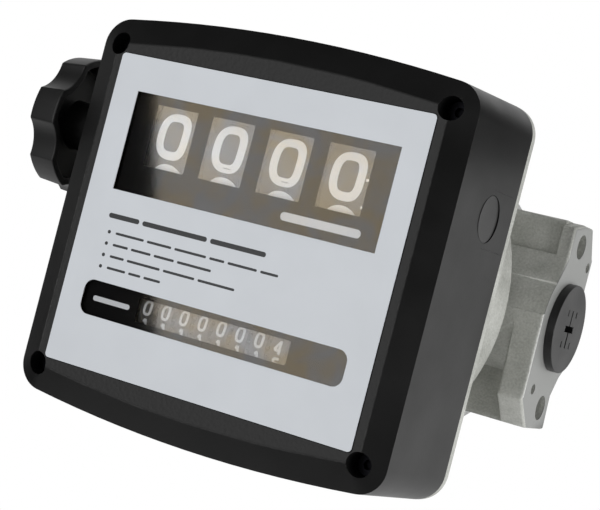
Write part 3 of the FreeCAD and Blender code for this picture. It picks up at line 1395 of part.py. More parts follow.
def make_inlet_strainer():
    """Disc with a grid of square holes in the mouth of the inlet passage."""
    strainer = new_body("inlet_strainer")
    half, steps = s.strainer_hole / 2, range(-2, 3)
    places = [(column * s.strainer_pitch, row * s.strainer_pitch) for column in steps for row in steps
              if abs(column) + abs(row) < 4]
    holes = [rectangle(y - half, z - half, y + half, z + half) for y, z in places]
    extrude(strainer, "Pad", sketch_on(strainer, "YZ_Plane", s.port_depth + s.seat_gap - s.flange_x, circle(
        0, 0, s.passage_r - s.running_gap), *holes), s.strainer_thick)
    put(strainer, 0, 0, s.port_height)


# ---------------------------------------------------------------- build, check and export

for build_step in (
        make_meter_body, make_chamber_cover, make_cover_screws, make_cover_seal, make_partition_plate,
        make_nutating_disc, make_drive_crank, make_output_shaft, make_shaft_seal, make_gear_train,
        make_gear_plate, make_gear_posts, make_batch_register, make_total_register, make_drive_shaft,
        make_register_frame, make_front_cover, make_front_cover_screws, make_window_and_dial,
        make_reset_knob, make_knob_bush, make_side_blank, make_port_plug, make_inlet_strainer):
    build_step()
make_chamber_half("chamber_upper", s.upper_eye_r, 1)
make_chamber_half("chamber_lower", s.lower_eye_r, -1)
doc.recompute()

NODES = (
    ["meter_body", "chamber_cover", "chamber_cover_screws", "chamber_cover_seal", "chamber_upper",
     "chamber_lower", "partition_plate", "nutating_disc", "drive_crank", "output_shaft", "shaft_seal",
     "output_pinion", "intermediate_gear", "upright_gear", "upright_shaft", "bevel_pinion", "bevel_wheel",
     "gear_plate", "gear_plate_posts", "drive_shaft", "batch_gear", "batch_shaft", "total_shaft",
     "total_idler", "side_register_plates", "total_register_plates", "register_rods",
     "front_cover", "front_cover_screws", "dial_label", "dial_window", "dial_card", "reset_knob", "knob_bush",
     "side_blank", "outlet_port_plug", "inlet_strainer"]
    + [f"batch_wheel_{count}" for count in range(1, 5)]
    + [f"batch_transfer_{count}" for count in range(1, 4)]
    + [f"total_wheel_{count}" for count in range(1, 9)]
    + [f"total_transfer_{count}" for count in range(1, 8)])

for item in doc.Objects:
    if {"Invalid", "Error"} & set(item.State):
        raise SystemExit(f"{item.Label}: {item.State}")
    cuts = item.isDerivedFrom("PartDesign::Pocket") or item.isDerivedFrom("PartDesign::Groove")
    if cuts and not item.Shape.Volume < item.BaseFeature.Shape.Volume - 0.01:
        raise SystemExit(f"{item.Name} of {item.getParentGeoFeatureGroup().Label} cut nothing")

os.makedirs("parts", exist_ok=True)
for node in NODES:
    piece = doc.getObjectsByLabel(node)[0]
    if piece.Shape.isNull() or not piece.Shape.isValid():
        raise SystemExit(f"{node}: the shape is not sound")
    piece.Shape.exportStep(f"parts/{node}.step")
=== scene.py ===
"""Mechanical fuel flow meter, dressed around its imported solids.

Frame: metres, +Z out of the dial, +Y up the dial, +X along the ports.  Sizes below are in millimetres and
are turned to metres by MM.
"""

import json
import logging
import math
from dataclasses import dataclass
from enum import Enum
from typing import Callable, ClassVar, Iterable, Optional, Sequence

import bmesh
import bpy
import numpy as np
from mathutils import Euler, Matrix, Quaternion, Vector


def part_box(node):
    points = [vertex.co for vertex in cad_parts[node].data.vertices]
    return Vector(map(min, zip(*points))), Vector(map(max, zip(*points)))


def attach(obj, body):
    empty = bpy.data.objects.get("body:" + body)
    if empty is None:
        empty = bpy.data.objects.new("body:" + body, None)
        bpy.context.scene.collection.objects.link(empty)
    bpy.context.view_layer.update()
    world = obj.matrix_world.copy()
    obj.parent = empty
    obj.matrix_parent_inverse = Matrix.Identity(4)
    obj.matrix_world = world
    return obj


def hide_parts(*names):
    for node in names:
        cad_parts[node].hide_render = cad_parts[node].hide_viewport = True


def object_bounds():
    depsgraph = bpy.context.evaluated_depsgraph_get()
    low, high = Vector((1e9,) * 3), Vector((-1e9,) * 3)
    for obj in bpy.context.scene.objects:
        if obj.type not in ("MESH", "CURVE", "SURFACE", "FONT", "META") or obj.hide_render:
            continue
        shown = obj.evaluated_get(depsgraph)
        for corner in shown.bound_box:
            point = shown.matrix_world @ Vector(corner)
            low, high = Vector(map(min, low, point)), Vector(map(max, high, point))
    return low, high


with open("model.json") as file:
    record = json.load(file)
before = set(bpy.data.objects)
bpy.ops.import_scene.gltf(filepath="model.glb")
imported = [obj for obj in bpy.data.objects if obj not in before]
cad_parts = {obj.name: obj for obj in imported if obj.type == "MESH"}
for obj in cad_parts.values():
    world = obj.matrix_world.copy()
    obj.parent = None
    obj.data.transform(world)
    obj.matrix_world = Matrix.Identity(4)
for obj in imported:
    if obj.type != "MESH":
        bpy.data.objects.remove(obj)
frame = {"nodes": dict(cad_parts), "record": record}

CAD_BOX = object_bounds()
MM = 0.001
LOG = logging.getLogger("flow_meter")
Array = np.ndarray
Patch = tuple[Array, Array]
Piece = bpy.types.Object
Tree = bpy.types.NodeTree
Socket = bpy.types.NodeSocket
# Between these two values lies nearly all of a noise texture.
NOISE = {"From Min": 0.3, "From Max": 0.7}
# How far uneven handling dulls a satin plastic or metal face below and above its roughness.
LESS_DULL, MORE_DULL = 0.06, 0.08
CLEAR_PLASTIC_IOR = 1.49


# ---- small tools


def linear(code: str) -> tuple[float, float, float, float]:
    """Return a colour as the shaders take it: value / 12.92, or ((value + 0.055) / 1.055) ** 2.4 if brighter.

    Args:
        code: An sRGB hex colour such as "#1a1a1a".

    Returns:
        Its linear red, green and blue, and an alpha of 1.
    """
    values = np.array([int(code[i : i + 2], 16) for i in (1, 3, 5)]) / 255.0
    toned = np.where(values <= 0.04045, values / 12.92, ((values + 0.055) / 1.055) ** 2.4)
    return (float(toned[0]), float(toned[1]), float(toned[2]), 1.0)


def per_size(size_mm: float) -> float:
    """Return the texture scale at which a pattern's features are this large."""
    return 1 / (size_mm * MM)


def add_node(tree: Tree, kind: str, inputs: Optional[dict] = None, **settings: object) -> bpy.types.Node:
    """Add one node.

    Args:
        tree: The node tree.
        kind: The node's type, without the leading "ShaderNode".
        inputs: Socket name or index to a plain value, or to an output socket to link from.
        settings: Properties set on the node itself.

    Returns:
        The new node.
    """
    node = tree.nodes.new(f"ShaderNode{kind}")
    for name, value in settings.items():
        setattr(node, name, value)
    for name, value in (inputs or {}).items():
        if isinstance(value, Socket):
            tree.links.new(value, node.inputs[name])
        else:
            node.inputs[name].default_value = value
    return node


def node_span(name: str) -> tuple[Array, Array]:
    """Return the lowest and highest corner of a CAD node in millimetres."""
    low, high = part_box(name)
    return np.array(low) / MM, np.array(high) / MM


def grid_patch(points: Array, wrap_rows: bool = False, wrap_columns: bool = False) -> Patch:
    """Return the points and the quads of a surface given on a grid.

    The face between rows i, i + 1 and columns j, j + 1 joins (i, j), (i + 1, j), (i + 1, j + 1), (i, j + 1).

    Args:
        points: Array of shape (rows, columns, 3) in millimetres.
        wrap_rows: Whether the last row joins the first.
        wrap_columns: Whether the last column joins the first.

    Returns:
        The points, one per line, and the four corners of each face.
    """
    rows, columns = points.shape[:2]
    index = np.arange(rows * columns).reshape(rows, columns)
    if wrap_rows:
        index = np.vstack([index, index[:1]])
    if wrap_columns:
        index = np.hstack([index, index[:, :1]])
    faces = np.stack([index[:-1, :-1], index[1:, :-1], index[1:, 1:], index[:-1, 1:]], axis=-1)
    return points.reshape(-1, 3), faces.reshape(-1, 4)


def make_piece(name: str, *patches: Patch) -> Piece:
    """Join patches into one smooth object at the origin.

    Args:
        name: The object's name.
        patches: Points in millimetres with the four corners of each face.

    Returns:
        The object, linked to the scene.
    """
    offsets = np.cumsum([0] + [len(points) for points, _ in patches[:-1]])
    points = np.vstack([points for points, _ in patches])
    faces = np.vstack([quads + offset for (_, quads), offset in zip(patches, offsets)])
    mesh = bpy.data.meshes.new(name)
    mesh.from_pydata((points * MM).tolist(), [], faces.tolist())
    mesh.update()
    mesh.polygons.foreach_set("use_smooth", [True] * len(mesh.polygons))
    piece = bpy.data.objects.new(name, mesh)
    bpy.context.scene.collection.objects.link(piece)
    return piece


def finished(piece: Piece, body: str, finish: "Palette") -> Piece:
    """Give a piece its material and its body, and report it.

    Args:
        piece: The piece.
        body: The body it rides on.
        finish: Its finish.

    Returns:
        The same piece.
    """
    piece.data.materials.clear()
    piece.data.materials.append(finish.value.material())
    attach(piece, body)
    LOG.info("%s rides on %s in %s", piece.name, body, finish.value.name)
    return piece


# ---- finishes


@dataclass(frozen=True)
class Finish:
    """A finish; each kind builds its own material once."""

    name: str

    def material(self) -> bpy.types.Material:
        """Build this finish's material, or find it again.

        Returns:
            The material, its surface built in Object coordinates.
        """
        known = bpy.data.materials.get(self.name)
        if known:
            return known
        material = bpy.data.materials.new(self.name)
        material.use_nodes = True
        tree = material.node_tree
        tree.nodes.clear()
        place = add_node(tree, "TexCoord").outputs["Object"]
        add_node(tree, "OutputMaterial", {"Surface": self.surface(tree, place)})
        return material

    def surface(self, tree: Tree, place: Socket) -> Socket:
        """Build the shader; each kind of finish has its own."""
        raise NotImplementedError


@dataclass(frozen=True)
class MouldedPlastic(Finish):
    """Injection-moulded plastic: an even body with the mould's fine spark-eroded grain in its shine.

    The grain is drawn coarser than the mould leaves it, so that it shows.
    """

    colour: str = "#1a1a1a"
    roughness: float = 0.4
    grain_mm: float = 0.9
    grain_depth_mm: float = 0.02
    wear: float = 0.05
    cloud_mm: float = 30.0
    cloud_gain: float = 1.2
    cloud_lift: float = 0.001

    def surface(self, tree: Tree, place: Socket) -> Socket:
        """Build the shader: a faint cloud in tone and shine over a fine bump.

        Args:
            tree: The material's node tree.
            place: Its Object coordinates.

        Returns:
            The shader's output.
        """
        cloud = add_node(tree, "TexNoise", {"Vector": place, "Scale": per_size(self.cloud_mm)})
        share = add_node(tree, "MapRange", {"Value": cloud.outputs["Fac"], **NOISE})
        base = linear(self.colour)
        paler = tuple(min(1.0, tone * self.cloud_gain + self.cloud_lift) for tone in base[:3]) + (1.0,)
        body = add_node(tree, "Mix", {0: share.outputs["Result"], 6: base, 7: paler}, data_type="RGBA")
        rough = add_node(tree, "MapRange", {
            "Value": share.outputs["Result"], "To Min": self.roughness - self.wear,
            "To Max": self.roughness + self.wear,
        })
        grain = add_node(tree, "TexNoise", {"Vector": place, "Scale": per_size(self.grain_mm), "Detail": 2.0})
        bump = add_node(tree, "Bump", {"Height": grain.outputs["Fac"], "Distance": self.grain_depth_mm * MM})
        shader = add_node(tree, "BsdfPrincipled", {
            "Base Color": body.outputs[2], "Roughness": rough.outputs["Result"], "IOR": CLEAR_PLASTIC_IOR,
            "Normal": bump.outputs["Normal"],
        })
        return shader.outputs["BSDF"]


@dataclass(frozen=True)
class TexturedCover(Finish):
    """Black ABS cover: polished walls and band, and a leather-like mould texture on the flat face.

    The eye gets a dark, slightly uneven satin from the walls and a paler, dry grain from the face.
    """

    colour: str = "#0e0e0e"
    face_colour: str = "#232323"
    roughness: float = 0.36
    face_roughness: float = 0.62
    leather_mm: float = 1.3
    leather_depth_mm: float = 0.16
    face_level_mm: float = 157.5
    face_fade_mm: float = 0.25
    cloud_mm: float = 35.0
    wall_grain_mm: float = 0.9
    wall_grain_share: float = 0.1
    gloss: float = 0.38

    def surface(self, tree: Tree, place: Socket) -> Socket:
        """Build the shader: the texture's share is 1 above the face level and 0 below.

        Args:
            tree: The material's node tree.
            place: Its Object coordinates.

        Returns:
            The shader's output.
        """
        height = add_node(tree, "SeparateXYZ", {"Vector": place})
        face = add_node(tree, "MapRange", {
            "Value": height.outputs["Z"], "From Min": (self.face_level_mm - self.face_fade_mm) * MM,
            "From Max": self.face_level_mm * MM,
        })
        cloud = add_node(tree, "TexNoise", {"Vector": place, "Scale": per_size(self.cloud_mm), "Detail": 4.0})
        walls = add_node(tree, "MapRange", {
            "Value": cloud.outputs["Fac"], **NOISE, "To Min": self.roughness - LESS_DULL,
            "To Max": self.roughness + MORE_DULL,
        })
        rough = add_node(tree, "Mix", {
            0: face.outputs["Result"], 2: walls.outputs["Result"], 3: self.face_roughness,
        })
        body = add_node(tree, "Mix", {
            0: face.outputs["Result"], 6: linear(self.colour), 7: linear(self.face_colour),
        }, data_type="RGBA")
        leather = add_node(tree, "TexVoronoi", {
            "Vector": place, "Scale": per_size(self.leather_mm),
        }, feature="SMOOTH_F1")
        fine = add_node(tree, "TexNoise", {
            "Vector": place, "Scale": per_size(self.wall_grain_mm), "Detail": 2.0,
        })
        quiet = add_node(tree, "Math", {
            0: fine.outputs["Fac"], 1: self.wall_grain_share,
        }, operation="MULTIPLY")
        grain = add_node(tree, "Mix", {
            0: face.outputs["Result"], 2: quiet.outputs[0], 3: leather.outputs["Distance"],
        })
        bump = add_node(tree, "Bump", {"Height": grain.outputs[0], "Distance": self.leather_depth_mm * MM})
        shader = add_node(tree, "BsdfPrincipled", {
            "Base Color": body.outputs[2], "Roughness": rough.outputs[0], "IOR": CLEAR_PLASTIC_IOR,
            "Specular IOR Level": self.gloss, "Normal": bump.outputs["Normal"],
        })
        return shader.outputs["BSDF"]


@dataclass(frozen=True)
class CastAluminium(Finish):
    """Die-cast aluminium alloy, blasted: dull grey with a sandy speckle, stains and milled flange faces.

    The oxide skin hides part of the metal, so it counts as metal only in part.  The speckle is drawn coarser
    than the blasting grit, so that it shows.
    """

    dark: str = "#9b9c96"
    pale: str = "#c9cac5"
    milled: str = "#979896"
    roughness: float = 0.62
    sand_mm: float = 0.9
    sand_depth_mm: float = 0.22
    stain_mm: float = 14.0
    milled_from_mm: float = 91.7
    metal: float = 0.45
    speckle_share: float = 0.45
    stain_share: float = 0.55
    milled_roughness: float = 0.45
    milled_grain: float = 0.12

    def surface(self, tree: Tree, place: Socket) -> Socket:
        """Build the shader: the milled share is 1 where |x| is beyond milled_from_mm.

        Args:
            tree: The material's node tree.
            place: Its Object coordinates.

        Returns:
            The shader's output.
        """
        across = add_node(tree, "SeparateXYZ", {"Vector": place})
        reach = add_node(tree, "Math", {0: across.outputs["X"]}, operation="ABSOLUTE")
        milled = add_node(tree, "Math", {
            0: reach.outputs[0], 1: self.milled_from_mm * MM,
        }, operation="GREATER_THAN")
        sand = add_node(tree, "TexNoise", {"Vector": place, "Scale": per_size(self.sand_mm), "Detail": 5.0})
        stain = add_node(tree, "TexNoise", {"Vector": place, "Scale": per_size(self.stain_mm), "Detail": 5.0})
        speckle = add_node(tree, "MapRange", {
            "Value": sand.outputs["Fac"], **NOISE, "To Max": self.speckle_share,
        })
        cloud = add_node(tree, "MapRange", {
            "Value": stain.outputs["Fac"], "From Min": 0.32, "From Max": 0.68, "To Max": self.stain_share,
        })
        tone = add_node(tree, "Math", {
            0: speckle.outputs["Result"], 1: cloud.outputs["Result"],
        }, operation="ADD")
        skin = add_node(tree, "Mix", {
            0: tone.outputs[0], 6: linear(self.dark), 7: linear(self.pale),
        }, data_type="RGBA")
        body = add_node(tree, "Mix", {
            0: milled.outputs[0], 6: skin.outputs[2], 7: linear(self.milled),
        }, data_type="RGBA")
        rough = add_node(tree, "Mix", {0: milled.outputs[0], 2: self.roughness, 3: self.milled_roughness})
        strength = add_node(tree, "Mix", {0: milled.outputs[0], 2: 1.0, 3: self.milled_grain})
        bump = add_node(tree, "Bump", {
            "Height": sand.outputs["Fac"], "Distance": self.sand_depth_mm * MM,
            "Strength": strength.outputs[0],
        })
        shader = add_node(tree, "BsdfPrincipled", {
            "Base Color": body.outputs[2], "Metallic": self.metal, "Roughness": rough.outputs[0],
            "Normal": bump.outputs["Normal"],
        })
        return shader.outputs["BSDF"]


@dataclass(frozen=True)
class BrightMetal(Finish):
    """Plated or drawn metal: fine marks that spread the shine a little."""

    colour: str = "#b9bab8"
    roughness: float = 0.32
    mark_mm: float = 0.6
    mark_depth_mm: float = 0.01

    def surface(self, tree: Tree, place: Socket) -> Socket:
        """Build the shader: the marks vary the roughness and lift the surface.

        Args:
            tree: The material's node tree.
            place: Its Object coordinates.

        Returns:
            The shader's output.
        """
        marks = add_node(tree, "TexNoise", {"Vector": place, "Scale": per_size(self.mark_mm), "Detail": 2.0})
        rough = add_node(tree, "MapRange", {
            "Value": marks.outputs["Fac"], **NOISE, "To Min": self.roughness - LESS_DULL,
            "To Max": self.roughness + MORE_DULL,
        })
        bump = add_node(tree, "Bump", {"Height": marks.outputs["Fac"], "Distance": self.mark_depth_mm * MM})
        shader = add_node(tree, "BsdfPrincipled", {
            "Base Color": linear(self.colour), "Metallic": 1.0, "Roughness": rough.outputs["Result"],
            "Normal": bump.outputs["Normal"],
        })
        return shader.outputs["BSDF"]


@dataclass(frozen=True)
class TurnedMetal(Finish):
    """Aluminium faced on a lathe: fine rings about Z that glint in a fan."""

    colour: str = "#bdbebc"
    roughness: float = 0.34
    ring_mm: float = 0.9
    ring_depth_mm: float = 0.02
    wobble: float = 0.4
    ring_shine: tuple[float, float] = (-0.05, 0.1)

    def surface(self, tree: Tree, place: Socket) -> Socket:
        """Build the shader: rings ring_mm apart, drawn coarser than the tool leaves them so they show.

        Args:
            tree: The material's node tree.
            place: Its Object coordinates.

        Returns:
            The shader's output.
        """
        rings = add_node(tree, "TexWave", {
            "Vector": place, "Scale": math.pi / (10 * self.ring_mm * MM), "Distortion": self.wobble,
            "Detail": 2.0,
        }, wave_type="RINGS", rings_direction="Z")
        rough = add_node(tree, "MapRange", {
            "Value": rings.outputs["Fac"], "To Min": self.roughness + self.ring_shine[0],
            "To Max": self.roughness + self.ring_shine[1],
        })
        bump = add_node(tree, "Bump", {"Height": rings.outputs["Fac"], "Distance": self.ring_depth_mm * MM})
        shader = add_node(tree, "BsdfPrincipled", {
            "Base Color": linear(self.colour), "Metallic": 1.0, "Roughness": rough.outputs["Result"],
            "Normal": bump.outputs["Normal"],
        })
        return shader.outputs["BSDF"]


@dataclass(frozen=True)
class ClearSheet(Finish):
    """Clear acrylic sheet: what lies behind shows through a polished, faintly smeared sheen."""

    tint: str = "#fafafa"
    warm: str = "#ffeccb"
    cool: str = "#f3f2f2"
    roughness: float = 0.055
    smear_mm: float = 14.0
    sheen: float = 1.55

    def surface(self, tree: Tree, place: Socket) -> Socket:
        """Build the shader: Fresnel times sheen is the glossy share, in a colour that drifts warm to cool.

        Args:
            tree: The material's node tree.
            place: Its Object coordinates.

        Returns:
            The shader's output.
        """
        smear = add_node(tree, "TexNoise", {
            "Vector": place, "Scale": per_size(self.smear_mm), "Detail": 4.0, "Distortion": 0.8,
        })
        drift = add_node(tree, "MapRange", {
            "Value": smear.outputs["Fac"], "From Min": 0.35, "From Max": 0.65,
        })
        colour = add_node(tree, "Mix", {
            0: drift.outputs["Result"], 6: linear(self.warm), 7: linear(self.cool),
        }, data_type="RGBA")
        through = add_node(tree, "BsdfTransparent", {"Color": linear(self.tint)})
        shine = add_node(tree, "BsdfGlossy", {"Color": colour.outputs[2], "Roughness": self.roughness})
        bounce = add_node(tree, "Fresnel", {"IOR": CLEAR_PLASTIC_IOR})
        share = add_node(tree, "Math", {
            0: bounce.outputs["Fac"], 1: self.sheen,
        }, operation="MULTIPLY", use_clamp=True)
        mixed = add_node(tree, "MixShader", {
            0: share.outputs[0], 1: through.outputs["BSDF"], 2: shine.outputs["BSDF"],
        })
        return mixed.outputs["Shader"]


@dataclass(frozen=True)
class PrintedSheet(Finish):
    """Screen-printed film or card: an even satin colour, a trace uneven where the ink lies."""

    colour: str = "#c0c4c8"
    roughness: float = 0.45
    gloss: float = 0.5
    cloud_mm: float = 25.0
    thinnest: float = 0.95

    def surface(self, tree: Tree, place: Socket) -> Socket:
        """Build the shader: the ink's clouds darken the colour down to its thinnest share.

        Args:
            tree: The material's node tree.
            place: Its Object coordinates.

        Returns:
            The shader's output.
        """
        ink = add_node(tree, "TexNoise", {"Vector": place, "Scale": per_size(self.cloud_mm), "Detail": 3.0})
        share = add_node(tree, "MapRange", {"Value": ink.outputs["Fac"], **NOISE})
        base = linear(self.colour)
        thin = tuple(tone * self.thinnest for tone in base[:3]) + (1.0,)
        body = add_node(tree, "Mix", {0: share.outputs["Result"], 6: thin, 7: base}, data_type="RGBA")
        shader = add_node(tree, "BsdfPrincipled", {
            "Base Color": body.outputs[2], "Roughness": self.roughness, "IOR": CLEAR_PLASTIC_IOR,
            "Specular IOR Level": self.gloss,
        })
        return shader.outputs["BSDF"]


class Palette(Enum):
    """The finishes of the meter, each with what it gives the eye."""

    # Satin black walls with a paler, dry leather grain on the face.
    COVER = TexturedCover("moulded black ABS cover")
    # The same black, a little duller and without the leather.
    TRIM = MouldedPlastic("moulded black ABS trim", "#121212", 0.4)
    # Soft black with a dry, fine-grained shine.
    KNOB = MouldedPlastic("moulded matte black nylon knob", "#141414", 0.46, 0.8, 0.03)
    # Waxy black with broad, uneven shine.
    PLUG = MouldedPlastic("moulded dull polyethylene plug", "#101010", 0.38, 1.0, 0.03, 0.08)
    # Dark brown ground behind the large numbers.
    BATCH_WHEEL = MouldedPlastic("moulded brown number wheel", "#2f2b25", 0.5, 0.6, 0.01)
    # Neutral dark ground behind the small numbers.
    TOTAL_WHEEL = MouldedPlastic("moulded grey number wheel", "#262626", 0.5, 0.6, 0.01)
    # Milky cream with a soft shine.
    GEAR = MouldedPlastic("moulded natural acetal", "#ddd8c8", 0.38, 0.8, 0.01)
    # Blue-black and faintly mottled.
    DISC = MouldedPlastic("moulded carbon-filled plastic", "#2a2b2e", 0.45, 0.6, 0.02)
    # Dead black that hardly shines.
    SEAL = MouldedPlastic("moulded nitrile rubber", "#0d0d0d", 0.7, 0.5, 0.02)
    # Sandy grey skin with stains, and smoother faces where it was milled.
    CAST = CastAluminium("blasted die-cast aluminium")
    # Pale metal with a fan of light over its rings.
    TURNED = TurnedMetal("faced aluminium")
    # Clean, bright metal.
    CHAMBER = BrightMetal("milled chamber aluminium", "#c6c7c8", 0.28)
    # Grey metal that flashes on each crest.
    THREAD = BrightMetal("cut aluminium thread", "#a4a5a3", 0.36)
    # Cool, bright plating.
    STEEL = BrightMetal("bright zinc-plated steel", "#b4b6ba", 0.28, 0.5)
    # Nearly black metal with a tight highlight.
    SCREW = BrightMetal("black-oxide screw steel", "#17171a", 0.42, 0.5)
    # Warm yellow metal.
    BRASS = BrightMetal("turned brass", "#c9a45c", 0.3, 0.5)
    # A haze that is warm here and cool there over what lies behind.
    WINDOW = ClearSheet("polished clear acrylic")
    # Cool silver grey, nearly flat.
    LABEL = PrintedSheet("silver-grey printed film", "#c2c6cb")
    # Black without shine.
    PANEL = PrintedSheet("black printed card", "#060607", 0.6, 0.1)
    # Clean white.
    NUMBER = PrintedSheet("hot-stamped white number foil", "#f4f5f4", 0.5)
    # Greyer white.
    SMALL_NUMBER = PrintedSheet("pad-printed pale number ink", "#c2c5c8", 0.5)
    # Dark grey, nearly black.
    INK_DARK = PrintedSheet("black screen ink", "#2a2c2e", 0.5)
    # White with a cool cast.
    INK_PALE = PrintedSheet("white screen ink", "#dfe2e6", 0.5)


# ---- the solids as they come


@dataclass
class Solids:
    """Finishes of the CAD nodes, by the record's material slot."""

    by_slot: ClassVar[dict[str, Palette]] = {
        "cast_body": Palette.CAST,
        "machined_cover": Palette.TURNED,
        "chamber_metal": Palette.CHAMBER,
        "steel_screws": Palette.SCREW,
        "steel_parts": Palette.STEEL,
        "strainer_steel": Palette.STEEL,
        "seal_rubber": Palette.SEAL,
        "disc_plastic": Palette.DISC,
        "brass_gears": Palette.BRASS,
        "gear_plastic": Palette.GEAR,
        "number_wheels": Palette.BATCH_WHEEL,
        "cover_plastic": Palette.COVER,
        "clear_window": Palette.WINDOW,
        "dial_print": Palette.LABEL,
        "panel_print": Palette.PANEL,
        "knob_plastic": Palette.KNOB,
        "cover_trim": Palette.TRIM,
        "plug_plastic": Palette.PLUG,
    }

    def finish_of(self, node: str, slot: str) -> Palette:
        """Return the finish of a node: its slot's, but grey for the small wheels."""
        return Palette.TOTAL_WHEEL if node.startswith("total_wheel") else self.by_slot[slot]

    def dress(self) -> None:
        """Give every CAD node its finish."""
        for subpart in frame["record"]["subparts"]:
            node = frame["nodes"][subpart["node"]]
            finish = self.finish_of(subpart["node"], subpart["material_slot"]).value
            node.data.materials.clear()
            node.data.materials.append(finish.material())
            LOG.info("%s in %s", node.name, finish.name)


@dataclass
class SoftEdges:
    """Copies of moulded and cast nodes whose sharp edges are rounded as the tool or die leaves them.

    Edges above angle_deg count as sharp and those under flat_deg are dissolved first.  On the casting an edge
    is rounded only where it is long_edge radii long and both faces are room radii wide, as a wider rounding
    would tear the facets of its holes, and only under the plate that carries the cover.
    """

    angle_deg: float = 14.0
    flat_deg: float = 0.6
    segments: int = 3
    room: float = 1.3
    long_edge: float = 4.0
    plate_clearance: float = 4.0
    merge_m: float = 1e-6

    def mark_long_edges(self, work: bmesh.types.BMesh, radius_mm: float, below_mm: float) -> None:
        """Give full bevel weight to long sharp edges that lie low enough and have room on both faces.

        The other sharp edges are marked sharp, so that no shading runs over them.  A face's width is taken as
        twice its area over its perimeter, which is right for a long strip.

        Args:
            work: The merged mesh.
            radius_mm: How far the rounding reaches.
            below_mm: The level that marked edges stay under.
        """
        weight = work.edges.layers.float.new("bevel_weight_edge")
        least = self.room * radius_mm * MM
        for edge in work.edges:
            sharp = edge.is_manifold and edge.calc_face_angle() > math.radians(self.angle_deg)
            if not sharp:
                continue
            low = max(corner.co.z for corner in edge.verts) < below_mm * MM
            widths = [2 * face.calc_area() / face.calc_perimeter() for face in edge.link_faces]
            edge.smooth = (
                low and min(widths) > least and edge.calc_length() > self.long_edge * radius_mm * MM
            )
            edge[weight] = float(edge.smooth)

    def rounded(self, node: str, body: str, finish: Palette, radius_mm: float,
                below_mm: Optional[float] = None) -> None:
        """Stand a merged copy of a node with rounded edges in for it.

        Args:
            node: The CAD node's name.
            body: The body it rides on.
            finish: The finish to give it.
            radius_mm: How far the rounding reaches from the edge.
            below_mm: Where given, only long edges below this level are rounded.
        """
        mesh = frame["nodes"][node].data.copy()
        mesh.name = f"{node}_soft"
        work = bmesh.new()
        work.from_mesh(mesh)
        bmesh.ops.remove_doubles(work, verts=work.verts, dist=self.merge_m)
        flat = math.radians(self.flat_deg)
        bmesh.ops.dissolve_limit(work, angle_limit=flat, verts=work.verts, edges=work.edges)
        if below_mm is not None:
            self.mark_long_edges(work, radius_mm, below_mm)
        for face in work.faces:
            face.smooth = True
        work.to_mesh(mesh)
        work.free()
        piece = bpy.data.objects.new(f"{node}_soft", mesh)
        bpy.context.scene.collection.objects.link(piece)
        bevel = piece.modifiers.new("edge rounding", "BEVEL")
        bevel.width = radius_mm * MM
        bevel.segments = self.segments
        bevel.limit_method = "ANGLE" if below_mm is None else "WEIGHT"
        bevel.angle_limit = math.radians(self.angle_deg)
        bevel.use_clamp_overlap = below_mm is None
        level = piece.modifiers.new("flat faces stay flat", "WEIGHTED_NORMAL")
        level.mode = "FACE_AREA"
        level.weight = 100
        level.keep_sharp = True
        finished(piece, body, finish)
        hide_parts(node)

    def build(self) -> None:
        """Round the cover, its trim, the casting, the knob, the plug and the chamber's cover."""
        under_plate = node_span("front_cover")[0][2] - self.plate_clearance
        self.rounded("front_cover", "housing", Palette.COVER, 0.6)
        self.rounded("knob_bush", "housing", Palette.TRIM, 0.4)
        self.rounded("side_blank", "housing", Palette.TRIM, 0.15)
        self.rounded("meter_body", "housing", Palette.CAST, 1.5, under_plate)
        self.rounded("reset_knob", "knob", Palette.KNOB, 1.2)
        self.rounded("outlet_port_plug", "housing", Palette.PLUG, 0.5)
        self.rounded("chamber_cover", "housing", Palette.TURNED, 0.5)


# ---- pieces on the casting and the cover


@dataclass
class InletThread:
    """The pipe thread inside the open port, a 1-inch one of 11 turns an inch.

    Its surface is turned about the port's axis: the radius is root - depth * (1 - |2 t - 1|), where t is the
    fractional part of (distance in) / pitch - angle / a full turn, so the crest winds in like a screw.  The
    depth fades to nothing over one pitch at each end.
    """

    root_r: float = 15.13
    depth: float = 0.85
    pitch: float = 2.309
    long: float = 16.0
    start: float = 1.2
    round_steps: int = 72
    steps_per_pitch: int = 8

    def build(self) -> Piece:
        """Build the thread in the port that faces -X.

        Returns:
            The thread, open at both ends.
        """
        low, _ = node_span("meter_body")
        axis_z = sum(side[2] for side in node_span("outlet_port_plug")) / 2
        depth_in = np.linspace(0, self.long, int(self.long / self.pitch * self.steps_per_pitch))[:, None]
        angle = np.linspace(0, 2 * math.pi, self.round_steps, endpoint=False)[None, :]
        share = np.mod(depth_in / self.pitch - angle / (2 * math.pi), 1.0)
        fade = np.clip(np.minimum(depth_in, self.long - depth_in) / self.pitch, 0, 1)
        radius = self.root_r - self.depth * fade * (1 - np.abs(2 * share - 1))
        points = np.stack(
            [
                np.broadcast_to(low[0] + self.start + depth_in, radius.shape),
                radius * np.cos(angle),
                axis_z + radius * np.sin(angle),
            ],
            axis=-1,
        )
        piece = make_piece("inlet_thread", grid_patch(points, wrap_columns=True))
        return finished(piece, "housing", Palette.THREAD)


